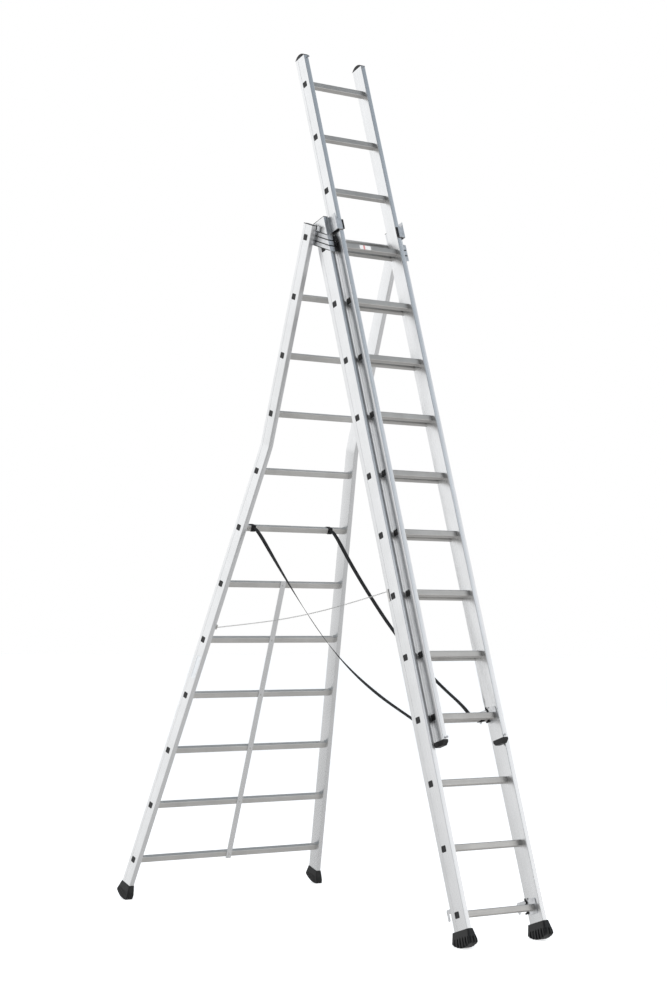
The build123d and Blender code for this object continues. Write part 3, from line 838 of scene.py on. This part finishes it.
@dataclass(frozen=True)
class RungPlugs:
    """Square black plugs in the ends of the rungs, with a rolled rim and a dished middle."""

    stile: Stile
    proud: float = 0.0012
    corner: float = 0.0035

    def head(self) -> Surface:
        """One head about its own middle, facing along X.

        Returns:
            Rings of a rounded square that shrink towards the middle while their height follows the profile.
        """
        square = rounded_rectangle(RUNG_HALF, RUNG_HALF, self.corner, 28)
        size = np.array([0.985, 1.0, 1.0, 0.96, 0.90, 0.80, 0.74, 0.60, 0.0])
        height = np.array([-1.5, -1.5, 0.45, 0.85, 1.0, 1.0, 0.45, 0.35, 0.35]) * self.proud
        rings = np.empty((len(size), len(square), 3))
        rings[..., 0] = height[:, None]
        rings[..., 1:] = size[:, None, None] * square
        return Surface.tube(rings)

    def build(self, prefix: str) -> None:
        """Put a head on both ends of every rung, square to the stile's outer face."""
        section = self.stile.section
        heights = np.arange(RUNG_COUNT) * RUNG_PITCH
        zero = np.zeros(RUNG_COUNT)
        places = np.stack([self.stile.outside(heights), zero, heights], axis=-1)
        tilt = np.where(heights < self.stile.bend, math.radians(self.stile.flare), 0.0)
        out = np.stack([np.cos(tilt), zero, np.sin(tilt)], axis=-1)
        back = np.tile(TO_THE_REAR, (RUNG_COUNT, 1))
        turns = np.stack([out, back, np.cross(out, back)], axis=1)
        heads = Surface.repeated(self.head(), places, turns).doubled().placed(section)
        fit(heads.piece(f"{prefix}_rung_plug_heads"), BLACK_PLASTIC, section.body, [f"{prefix}_rung_plugs"])


@dataclass(frozen=True)
class Foot:
    """Rubber foot with a rounded sole and upright grooves round its lower part.

    Attributes:
        stile: Stile that the foot is pushed on.
        rim: Half width, half depth and height at the top.
        wide: Half width, half depth and height at the widest line.
        sole_radius: Radius of the sole's arc, seen from the side.
        sole_centre: Place of the arc's centre along the depth.
        grooves: Lowest and highest point of the grooves.
        groove_pitch: Distance between grooves.
        groove_depth: Depth of each groove.
        groove_end: Length over which a groove runs out.
        sole_flat: How far the ground cuts into the sole's arc.
    """

    stile: Stile
    rim: Triple
    wide: Triple
    sole_radius: float
    sole_centre: float
    grooves: Pair
    groove_pitch: float = 0.018
    groove_depth: float = 0.0026
    groove_end: float = 0.003
    sole_flat: float = 0.0006

    def sole(self, depth: np.ndarray) -> np.ndarray:
        """Height of the sole's arc: its centre less the root of radius squared less distance squared."""
        lean = math.radians(self.stile.section.lean)
        above_start = -self.stile.section.start[1] + self.sole_radius - self.sole_flat
        centre = (above_start + self.sole_centre * math.sin(lean)) / math.cos(lean)
        return centre - np.sqrt(self.sole_radius ** 2 - (depth - self.sole_centre) ** 2)

    def surface(self) -> Surface:
        """The right foot.

        Returns:
            A grid of a share down from rim to sole and a place round the outline: the outline grows from
            rim to widest line, is pressed in at the grooves, and ends on the sole's arc.
        """
        down = np.array([0.02, 0.02, 0.0, 0.0, 0.01, 0.03, 0.07, 0.13, 0.2, 0.27, 0.33, 0.4, 0.45, 0.48, 0.51,
                         0.56, 0.65, 0.75, 0.84, 0.88, 0.91, 0.94, 0.97, 0.99, 1.0, 1.0, 1.0, 1.0])
        inset = np.array([0, 0, 4.0, 1.2, 0.3, 0, 0, 0, 0, 0, 0, 0, 0, 0, 0,
                          0, 0, 0, 0, 0, 0, 0.1, 0.6, 1.6, 3.4, 8, 0, 0]) * 0.001
        size = np.array([0.0, 0.6] + [1.0] * 24 + [0.5, 0.0])
        wide_x, wide_y, wide_z = self.wide
        rim_z = self.rim[2]
        outline = rounded_rectangle(wide_x, wide_y, min(0.009, wide_x * 0.45), 224)
        step = np.roll(outline, -1, axis=0) - np.roll(outline, 1, axis=0)
        outward = np.stack([step[:, 1], -step[:, 0]], axis=-1) / np.linalg.norm(step, axis=1)[:, None]
        floor = self.sole(outline[:, 1])
        height = rim_z + down[:, None] * (floor[None] - rim_z)
        grown = np.clip((height - rim_z) / (wide_z - rim_z), 0, 1)
        narrow = np.array(self.rim[:2]) / self.wide[:2]
        share = narrow + grown[..., None] * (1 - narrow)
        side_place = np.where(np.abs(outward[:, 0]) > 0.7, outline[:, 1], outline[:, 0])
        beat = np.cos(2 * math.pi * side_place / self.groove_pitch)
        pressed = np.clip((beat - 0.2) / 0.2, 0, 1)
        corner = np.abs(outward).max(axis=1)
        pressed = pressed * np.clip((corner - 0.96) / 0.03, 0, 1)
        low, high = self.grooves
        above = np.clip((height - low) / self.groove_end, 0, 1)
        window = above * np.clip((high - height) / self.groove_end, 0, 1)
        inward = inset[:, None] + self.groove_depth * pressed[None] * window
        flat = size[:, None, None] * (share * outline[None] - inward[..., None] * outward[None])
        centre = self.stile.outside(height) - STILE_WIDTH / 2
        rings = np.stack([centre + flat[..., 0], flat[..., 1], height], axis=-1)
        sole_rows = down >= 0.999
        rings[sole_rows, :, 2] = self.sole(flat[sole_rows][..., 1])
        return Surface.tube(rings)

    def build(self, prefix: str) -> None:
        """Make the left and right feet, pressed flat where they meet the ground."""
        for side, surface in self.surface().sides():
            placed = surface.placed(self.stile.section)
            placed.points[:, 2] = np.maximum(placed.points[:, 2], 0.0)
            node = f"{prefix}_foot_{side}"
            fit(placed.piece(f"{node}_rubber", crease=50.0), RUBBER, self.stile.section.body, [node])


@dataclass(frozen=True)
class Rivets:
    """Domed blind-rivet heads.

    Attributes:
        section: Section that they sit in.
        radius: Radius of a head.
        height: Height of its dome.
        sunk: How far a head reaches into the part under it.
    """

    section: Section
    radius: float = 0.0055
    height: float = 0.0021
    sunk: float = 0.0004

    def build(self, name: str, places: np.ndarray, outward: np.ndarray, node: str, mirror: bool) -> None:
        """Put a head at each place.

        Args:
            name: Name of the piece.
            places: Array (n, 3) of the middles of the heads' undersides.
            outward: Direction that the heads face.
            node: CAD node that they stand for.
            mirror: Whether the other side of the ladder has the same.
        """
        turn = np.linspace(0, math.pi / 2, 6)
        dome = np.stack([self.radius * np.cos(turn), self.height * np.sin(turn)], axis=-1)
        dimple = np.array([(0.28, 0.98), (0.22, 0.7), (0.0, 0.66)]) * (self.radius, self.height)
        profile = np.vstack([[0.0, -self.sunk], [self.radius * 0.98, -self.sunk], dome[:-1], dimple])
        side = TO_THE_REAR if abs(outward[1]) < 0.5 else TO_THE_RIGHT
        turns = np.tile(np.stack([side, np.cross(outward, side), outward]), (len(places), 1, 1))
        heads = Surface.repeated(turned(profile, 16), places, turns)
        if mirror:
            heads = heads.doubled()
        fit(heads.placed(self.section).piece(name), ZINC, self.section.body, [node])


# --- Sub-assemblies ---
@dataclass
class RearSection:
    """Flared rear section: stiles, rungs, feet, lids and the strut up its lower rungs."""

    stile: Stile = Stile(REAR, 0.266, (-0.123, 3.140), bend=2.086, flare=7.9)
    strut_x: float = -0.010
    strut_rungs: int = 6
    strut_front: float = -0.017
    label_height: float = 0.985
    label_depth: float = -0.012
    label_lift: float = 0.0002
    label_size: Pair = (0.030, 0.110)

    def build(self) -> None:
        """Make or dress every piece of the section."""
        self.stile.build("rear", REAR_STILE)
        keep([f"rear_rung_{number:02d}" for number in range(1, 9)] + ["rear_upper_rungs"], LIGHTER_REAR_RUNG)
        RungPlugs(self.stile).build("rear")
        foot = Foot(self.stile, rim=(0.0150, 0.0385, -0.122), wide=(0.0200, 0.052, -0.166), sole_radius=0.111,
                    sole_centre=-0.015, grooves=(-0.192, -0.150), groove_pitch=0.012, groove_depth=0.0018)
        foot.build("rear")
        soften("rear_top_caps", "rear_stile_lids", BLACK_PLASTIC, REAR.body, 0.0007)
        soften("centre_strut", "centre_strut_bar", REAR_STILE, REAR.body, 0.0006)
        self.build_label()
        heights = np.arange(self.strut_rungs) * RUNG_PITCH
        line = np.ones(self.strut_rungs)
        places = np.stack([self.strut_x * line, self.strut_front * line, heights], axis=-1)
        Rivets(REAR).build("strut_rivet_heads", places, -TO_THE_REAR, "strut_rivets", mirror=False)

    def build_label(self) -> None:
        """Stick a label on the flared outer face of the left stile."""
        flare = math.radians(self.stile.flare)
        face = -float(self.stile.outside(np.array(self.label_height)))
        middle = np.array([face - self.label_lift, self.label_depth, self.label_height])
        up = np.array([math.sin(flare), 0, math.cos(flare)])
        label = flat_label(middle, TO_THE_REAR, up, self.label_size, LABEL_THICKNESS)
        fit(label.placed(REAR).piece("rear_stile_label"), STILE_LABEL, REAR.body, [])


@dataclass
class FrontSection:
    """Straight front section: stiles, rungs, boots, lids, rung hooks and the guides at its top."""

    stile: Stile = Stile(FRONT, 0.224, (-0.118, 3.222), depth=(-0.046, 0.040))
    guide_inner: float = 0.195
    guide_rivets: tuple[Pair, ...] = tuple((y, z) for y in (-0.012, 0.014) for z in (3.154, 3.189))

    def build(self) -> None:
        """Make or dress every piece of the section."""
        self.stile.build("front", FRONT_STILE)
        keep(["front_rungs"], SHADED_RUNG)
        RungPlugs(self.stile).build("front")
        Foot(self.stile, rim=(0.0155, 0.053, -0.065), wide=(0.0250, 0.060, -0.111), sole_radius=0.095,
             sole_centre=-0.008, grooves=(-0.150, -0.096), groove_depth=0.0050).build("front")
        soften("front_top_caps", "front_stile_lids", BLACK_PLASTIC, FRONT.body, 0.0007)
        for side in SIDES:
            soften(f"guide_bracket_{side}", f"guide_plate_{side}", LIGHT_PLATE, FRONT.body, 0.0009)
            soften(f"guide_shoe_{side}", f"guide_pad_{side}", BLACK_PLASTIC, FRONT.body, 0.0006)
            soften(f"front_hook_{side}", f"front_rung_hook_{side}", LIGHT_PLATE, FRONT.body, 0.0009)
            catch = f"front_catch_{side}"
            soften(catch, f"front_hook_catch_{side}", BLACK_PLASTIC, catch, 0.0006)
        places = np.array([(self.guide_inner, y, z) for y, z in self.guide_rivets])
        rivets = Rivets(FRONT, height=0.0015)
        rivets.build("guide_rivet_heads", places, -TO_THE_RIGHT, "guide_rivets", mirror=True)


@dataclass
class TopSection:
    """Sliding top section: stiles, rungs, end caps, rung hooks, stop pins and one plain label."""

    stile: Stile = Stile(TOP, 0.182, (-0.105, 3.221))
    label_rung: int = 8
    label_middle: float = -0.0315
    label_size: Pair = (0.065, 0.020)

    def build(self) -> None:
        """Make or dress every piece of the section."""
        self.stile.build("top", FRONT_STILE)
        keep(["top_rungs"], SHADED_RUNG)
        RungPlugs(self.stile).build("top")
        soften("top_upper_caps", "upper_end_caps", BLACK_PLASTIC, TOP.body, 0.0012)
        soften("top_lower_caps", "lower_end_caps", BLACK_PLASTIC, TOP.body, 0.0012)
        soften("stop_pins", "stop_pin_heads", GREY_PLATE, TOP.body, 0.0005)
        for side in SIDES:
            soften(f"top_hook_{side}", f"top_rung_hook_{side}", LIGHT_PLATE, TOP.body, 0.0009)
            catch = f"top_catch_{side}"
            soften(catch, f"top_hook_catch_{side}", BLACK_PLASTIC, catch, 0.0006)
        front = -RUNG_HALF - LABEL_THICKNESS / 2
        middle = np.array([self.label_middle, front, self.label_rung * RUNG_PITCH])
        label = flat_label(middle, TO_THE_RIGHT, UPWARDS, self.label_size, LABEL_THICKNESS)
        fit(label.placed(TOP).piece("rung_label"), RUNG_LABEL, TOP.body, [])


def block_surface(x: Pair, y: Pair, z: Pair) -> Surface:
    """Box between three (low, high) pairs."""
    ring = np.array([(x[0], y[0]), (x[1], y[0]), (x[1], y[1]), (x[0], y[1])])
    return Surface.tube(np.stack([np.column_stack([ring, np.full(4, height)]) for height in z]))


def flat_label(middle: np.ndarray, across: np.ndarray, up: np.ndarray, size: Pair,
               thickness: float) -> Surface:
    """Thin label with rounded corners.

    Args:
        middle: Middle of the label.
        across: Direction of its width.
        up: Direction of its height.
        size: Width and height.
        thickness: Thickness, half of it on each side of the middle.

    Returns:
        A rounded rectangle carried through the thickness, patterned by its own width and height.
    """
    outline = rounded_rectangle(size[0] / 2, size[1] / 2, 0.002, 40)
    normal = np.cross(across, up)
    flat = middle + outline[:, :1] * across + outline[:, 1:] * up
    rings = np.stack([flat - normal * thickness / 2, flat + normal * thickness / 2])
    return Surface.tube(rings, uv=np.stack([outline, outline]))


@dataclass
class Hinge:
    """Swivel brackets, their liners and rivets, black strips painted as shade in the brackets' seams and
    under their edges, and the pins and bushes that the sections fold on.

    Attributes:
        rivets: (x, y, z) of each rivet head's underside on the right.
        seams: (height, front end) of each seam on the bracket's side.
        seam_x: Where a seam's bead starts and ends across the ladder.
        seam_half: Half of the height of a seam's bead.
        edges: (height, front end) of the bead under each edge of the bracket's side.
        edge_x: Where an edge's bead starts and ends across the ladder.
        edge_width: Height of an edge's bead.
        bead_end: Rear end of the beads on the side.
        lip_seams: Height of each seam on the bracket's front lip.
        lip_x: Where a bead on the lip starts and ends across the ladder.
        lip_y: Front and rear of a bead on the lip.
        lip_half: Half of the height of a bead on the lip.
    """

    rivets: tuple[Triple, ...] = ((0.2428, 0.004, 3.0585), (0.2428, 0.004, 3.107))
    seams: tuple[Pair, ...] = ((3.07333, -0.1440), (3.09567, -0.1274))
    seam_x: Pair = (0.2287, 0.2301)
    seam_half: float = 0.0022
    edges: tuple[Pair, ...] = ((3.0508, -0.158), (3.1147, -0.113))
    edge_x: Pair = (0.2300, 0.2314)
    edge_width: float = 0.0034
    bead_end: float = -0.026
    lip_seams: Pair = (3.0701, 3.0980)
    lip_x: Pair = (0.2015, 0.2300)
    lip_y: Pair = (-0.0521, -0.0507)
    lip_half: float = 0.0027

    def build_painted_shade_strips(self) -> None:
        """Lay a black bead in each seam between the bracket's bands, along its side and over its front, and
        under each edge of its side: painted shade standing in for the shadow in the seams and under the
        edges.
        """
        seams = [block_surface(self.seam_x, (front, self.bead_end), (z - self.seam_half, z + self.seam_half))
                 for z, front in self.seams]
        edges = [block_surface(self.edge_x, (front, self.bead_end), (z, z + self.edge_width))
                 for z, front in self.edges]
        lips = [block_surface(self.lip_x, self.lip_y, (z - self.lip_half, z + self.lip_half))
                for z in self.lip_seams]
        beads = [(bead, REAR) for bead in seams + edges] + [(bead, FRONT) for bead in lips]
        right = Surface.joined([bead.placed(section) for bead, section in beads])
        # Painted shade: these black beads darken the seams and the bracket's edges, where there is only
        # shadow.
        fit(right.doubled().piece("bracket_seam_painted_shade"), BLACK_PLASTIC, REAR.body, [])

    def build(self) -> None:
        """Make or dress every piece of the hinge."""
        for side in SIDES:
            soften(f"swivel_bracket_{side}", f"swivel_bracket_casting_{side}", LIGHT_PLATE, REAR.body, 0.0008)
        soften("bracket_liners", "toothed_liners", BLACK_PLASTIC, FRONT.body, 0.0006)
        self.build_painted_shade_strips()
        keep(["hinge_pins", "hinge_bushes"], ZINC)
        places = np.array(self.rivets)
        Rivets(REAR).build("bracket_rivet_heads", places, TO_THE_RIGHT, "bracket_rivets", mirror=True)


@dataclass
class Strap:
    """Webbing strap sewn to a loop round a rear rung and to another round a front rung.

    Attributes:
        side: Side of the ladder.
        route: Control points of its line in the shared frame.
        twist: Degrees that the band turns over in its middle.
        peak: Share of its length where the turn is greatest.
        spread: Share of its length over which it turns.
    """

    side: str
    route: list[Triple]
    twist: float
    peak: float
    spread: float
    width: float = 0.025
    thickness: float = 0.0020

    def across(self, path: np.ndarray) -> np.ndarray:
        """Sideways direction of the band along the path.

        Args:
            path: Array (n, 3).

        Returns:
            The ladder's X axis squared to the path, turned round the path by a smooth hump of angle.
        """
        _, side, up = directions(path, TO_THE_RIGHT)
        share = np.linspace(0, 1, len(path))
        away = np.clip((share - self.peak) / self.spread, -1, 1)
        angle = np.radians(self.twist) * (0.5 + 0.5 * np.cos(math.pi * away))[:, None]
        return side * np.cos(angle) + up * np.sin(angle)

    def build(self) -> None:
        """Make the strap from one loop to the other."""
        path = spline_path(self.route, 0.006)
        across = self.across(path)
        band = rounded_rectangle(self.width / 2, self.thickness / 2, self.thickness * 0.45, 28)
        strap = carried(band, path, across).piece(f"strap_{self.side}_webbing", crease=BAND_CREASE)
        dress(strap, WEBBING)
        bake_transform(strap)
        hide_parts(f"strap_{self.side}")
        LOG.info("made %s, %.3f m long", strap.name, path_length(path))


STRAPS = (
    Strap("left", [(-0.246, 0.4615, 1.7878), (-0.246, 0.4331, 1.7783), (-0.2375, 0.294, 1.624),
                   (-0.2290, 0.128, 1.451), (-0.2200, -0.049, 1.282), (-0.2105, -0.236, 1.140),
                   (-0.1999, -0.444, 1.025), (-0.1898, -0.642, 0.942), (-0.185, -0.7073, 0.9137),
                   (-0.185, -0.7355, 0.9231)], twist=-45.0, peak=0.42, spread=0.40),
    Strap("right", [(0.208, 0.4615, 1.7878), (0.208, 0.4331, 1.7783), (0.1968, 0.294, 1.633),
                    (0.1850, 0.117, 1.468), (0.1725, -0.069, 1.311), (0.1593, -0.267, 1.173),
                    (0.1461, -0.464, 1.058), (0.1346, -0.637, 0.973), (0.128, -0.7073, 0.9137),
                    (0.128, -0.7355, 0.9231)], twist=0.0, peak=0.45, spread=0.4),
)


@dataclass
class StrapLoops:
    """Webbing loops round the rungs that the straps are sewn to."""

    section: Section
    rung: int
    places: Pair
    node: str
    width: float = 0.025
    thickness: float = 0.0020
    gap: float = 0.0002

    def build(self) -> None:
        """Carry the band's section round a rounded square just outside the rung."""
        reach = RUNG_HALF + self.gap + self.thickness / 2
        square = rounded_rectangle(reach, reach, 0.0045, 64)
        band = rounded_rectangle(self.width / 2, self.thickness / 2, self.thickness * 0.45, 20)
        loops = []
        for x in self.places:
            height = self.rung * RUNG_PITCH + square[:, 1]
            path = np.stack([np.full(len(square), x), square[:, 0], height], axis=-1)
            loops.append(carried(band, path, TO_THE_RIGHT, Ends.LOOPED))
        both = Surface.joined(loops).placed(self.section)
        fit(both.piece(f"{self.node}_webbing", crease=BAND_CREASE), WEBBING, self.section.body, [self.node])


@dataclass
class Chain:
    """Safety chain of straight wire links from the rear stile's eye to the front stile's hook.

    Attributes:
        start: Where the chain leaves the eye.
        end: Where it is hooked on.
        drops: (share of the span, sag below the straight line) pairs.
        first_turn: Degrees that the first link is turned round the chain.
    """

    start: Triple = (-0.3614, 0.5970, 1.3133)
    end: Triple = (-0.2300, -0.5325, 1.4795)
    drops: tuple[Pair, ...] = ((0.2, 0.015), (0.4, 0.026), (0.6, 0.027), (0.8, 0.017))
    half_width: float = 0.0029
    wire: float = 0.0009
    pitch: float = 0.0135
    first_turn: float = 38.0

    def route(self) -> list[Triple]:
        """Control points: the two ends and the sagging points between them."""
        first, last = np.array(self.start), np.array(self.end)
        between = [first + share * (last - first) - (0, 0, drop) for share, drop in self.drops]
        return [tuple(point) for point in (first, *between, last)]

    def link(self) -> Surface:
        """One link along X: a wire's circle carried round a loop with half-round ends."""
        across = self.half_width - self.wire
        loop = rounded_rectangle(self.pitch / 2 + self.wire, across, across * 0.98, 14)
        path = np.column_stack([loop, np.zeros(len(loop))])
        return carried(circle(self.wire, 5), path, UPWARDS, Ends.LOOPED)

    def build(self) -> None:
        """Make the links along the spline, each turned a quarter from the one before."""
        path = spline_path(self.route(), 0.004)
        length = path_length(path)
        count = int(length / self.pitch)
        along, side, up = directions(path, TO_THE_RIGHT)
        at = np.linspace(0, len(path) - 1, count + 1)
        middle = (at[:-1] + at[1:]) / 2
        near = middle.round().astype(int)
        places = read_at(path, np.arange(len(path)), middle)
        quarter = (np.arange(count) % 2)[:, None] * math.pi / 2 + math.radians(self.first_turn)
        first = side[near] * np.cos(quarter) + up[near] * np.sin(quarter)
        turns = np.stack([along[near], first, np.cross(along[near], first)], axis=1)
        links = Surface.repeated(self.link(), places, turns)
        links.uv = None
        chain = links.piece("chain_links", crease=80.0)
        dress(chain, ZINC)
        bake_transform(chain)
        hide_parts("chain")
        LOG.info("made %s, %.3f m long in %d links", chain.name, length, count)
        keep(["chain_eye", "chain_hook"], ZINC)


# --- Studio: floor, light and camera ---
@dataclass
class Studio:
    """Plain pale floor, soft light from all round, two large lamps and the camera."""

    camera_place: Triple = (-6.1161, -7.9879, 1.3883)
    azimuth: float = -36.886
    elevation: float = -2.968
    roll: float = 0.422
    lens: float = 78.1
    floor_radius: float = 60.0
    floor_height: float = -0.0005
    floor_colour: Colour = (0.86, 0.86, 0.86)
    floor_glow: float = 0.62
    sky_stops: tuple[Pair, ...] = ((0.0, 0.52), (0.36, 0.56), (0.43, 0.66), (0.485, 0.86), (0.53, 0.98),
                                   (0.684, 1.10), (0.716, 0.93), (0.769, 0.50), (0.812, 0.25), (1.0, 0.32))
    dark_side: Triple = (-0.58, -0.70, 0.42)

    def build_floor(self) -> None:
        """A flat disc that isn't part of the ladder."""
        ring = circle(self.floor_radius, 96)
        rings = np.zeros((3, 96, 3))
        rings[..., :2] = np.array([0.0, 0.2, 1.0])[:, None, None] * ring
        rings[..., 2] = self.floor_height
        floor = Surface(rings.reshape(-1, 3), Surface.tube(rings).quads).piece("studio_floor")
        shader = Shader("studio_floor_paint", metallic=0.0, specular=0.1)
        shader.set(shader.surface, {
            "Base Color": (*self.floor_colour, 1.0),
            "Roughness": 0.9,
            "Emission Color": (1.0, 1.0, 1.0, 1.0),
            "Emission Strength": self.floor_glow,
        })
        floor.data.materials.append(shader.material)
        floor.visible_glossy = False

    @staticmethod
    def facing(tree: bpy.types.NodeTree, view: Socket, direction: Triple,
               spread: tuple[float, ...]) -> Socket:
        """Value that changes as the view turns towards a direction.

        Args:
            tree: The world's nodes.
            view: The view direction.
            direction: Direction that the value is measured from.
            spread: Cosines where the change starts and stops, then the values there.

        Returns:
            The value: the cosine of the angle from the direction, spread between the two values.
        """
        cosine = tree.nodes.new("ShaderNodeVectorMath")
        cosine.operation = "DOT_PRODUCT"
        wire(tree, cosine, {0: view, 1: direction})
        change = tree.nodes.new("ShaderNodeMapRange")
        return wire(tree, change, dict(enumerate((cosine.outputs["Value"], *spread)))).outputs[0]

    def build_sky(self) -> None:
        """Soft light from all round, brightest a little above the horizon, over a white backdrop."""
        world = bpy.data.worlds.new("studio_light")
        bpy.context.scene.world = world
        world.use_nodes = True
        tree = world.node_tree
        view = tree.nodes.new("ShaderNodeTexCoord").outputs["Generated"]
        split = wire(tree, tree.nodes.new("ShaderNodeSeparateXYZ"), {0: view})
        lift = wire(tree, tree.nodes.new("ShaderNodeMapRange"), {0: split.outputs[2], 1: -1.0})
        height = wire(tree, tree.nodes.new("ShaderNodeValToRGB"), {0: lift.outputs[0]})
        ramp = height.color_ramp
        for _ in self.sky_stops[2:]:
            ramp.elements.new(0.5)
        for element, (place, level) in zip(ramp.elements, self.sky_stops):
            element.position = place
            blue = 1.3 if place > 0.75 else 1.01
            element.color = (level, level * (1.0 + (blue - 1.0) / 2), level * blue, 1.0)
        strength = self.facing(tree, view, self.dark_side, (0.80, 0.95, 1.0, 0.12))
        sky = next(node for node in tree.nodes if node.type == "BACKGROUND")
        wire(tree, sky, {"Color": height.outputs[0], "Strength": strength})
        backdrop = wire(tree, tree.nodes.new("ShaderNodeBackground"), {"Color": (1.0, 1.0, 1.0, 1.0)})
        seen = tree.nodes.new("ShaderNodeLightPath").outputs["Is Camera Ray"]
        choose = tree.nodes.new("ShaderNodeMixShader")
        wire(tree, choose, {0: seen, 1: sky.outputs[0], 2: backdrop.outputs[0]})
        output = next(node for node in tree.nodes if node.type == "OUTPUT_WORLD")
        wire(tree, output, {"Surface": choose.outputs[0]})

    def lamp(self, name: str, place: Triple, aim: Triple, size: float, power: float) -> None:
        """Add one square area lamp.

        Args:
            name: Name of the lamp.
            place: Where it stands.
            aim: Point that it faces.
            size: Length of its side.
            power: Power in watts.
        """
        data = bpy.data.lights.new(name, "AREA")
        data.shape = "SQUARE"
        data.size = size
        data.energy = power
        lamp = linked(bpy.data.objects.new(name, data))
        away = np.array(place) - np.array(aim)
        lamp.matrix_world = looking(np.array(place), away, 0.0)
        lamp.visible_glossy = False

    def build_camera(self) -> None:
        """The camera stands at its place and looks along its azimuth and elevation, turned by its roll."""
        turn, rise = math.radians(self.azimuth), math.radians(self.elevation)
        back = np.array([math.sin(turn) * math.cos(rise), -math.cos(turn) * math.cos(rise), math.sin(rise)])
        data = bpy.data.cameras.new("camera")
        data.lens = self.lens
        data.sensor_width = 36.0
        data.clip_start, data.clip_end = 0.1, 200.0
        camera = linked(bpy.data.objects.new("camera", data))
        camera.matrix_world = looking(np.array(self.camera_place), back, self.roll)
        bpy.context.scene.camera = camera

    def build(self) -> None:
        """Set up the floor, the light and the camera."""
        self.build_camera()
        self.build_floor()
        self.build_sky()
        self.lamp("key_lamp", (-5.0, -5.5, 5.5), (0.0, 0.0, 1.8), 3.0, 260.0)
        self.lamp("side_lamp", (6.5, -1.0, 4.0), (0.0, 0.0, 1.5), 3.5, 150.0)
        bpy.context.scene.view_settings.view_transform = "Standard"


def looking(place: np.ndarray, back: np.ndarray, roll: float) -> Matrix:
    """Placement whose -Z looks away from a direction.

    Args:
        place: Where it stands.
        back: Direction that its +Z points.
        roll: Degrees that it is turned about its line of sight.

    Returns:
        Matrix whose columns are right, up, back and the place.
    """
    back = back / np.linalg.norm(back)
    level = np.cross(UPWARDS, back)
    level /= np.linalg.norm(level)
    rise = np.cross(back, level)
    angle = math.radians(roll)
    right = level * math.cos(angle) + rise * math.sin(angle)
    up = rise * math.cos(angle) - level * math.sin(angle)
    matrix = np.eye(4)
    matrix[:3] = np.column_stack([right, up, back, place])
    return Matrix(matrix.tolist())


def main() -> None:
    """Build the studio, the cords and every sub-assembly in order."""
    logging.basicConfig(level=logging.INFO, format="%(name)s: %(message)s")
    Studio().build()
    for strap in STRAPS:
        strap.build()
    Chain().build()
    StrapLoops(REAR, 6, (-0.246, 0.208), "rear_strap_loops").build()
    StrapLoops(FRONT, 3, (-0.185, 0.128), "front_strap_loops").build()
    RearSection().build()
    FrontSection().build()
    TopSection().build()
    Hinge().build()


if __name__ == "__main__":
    main()
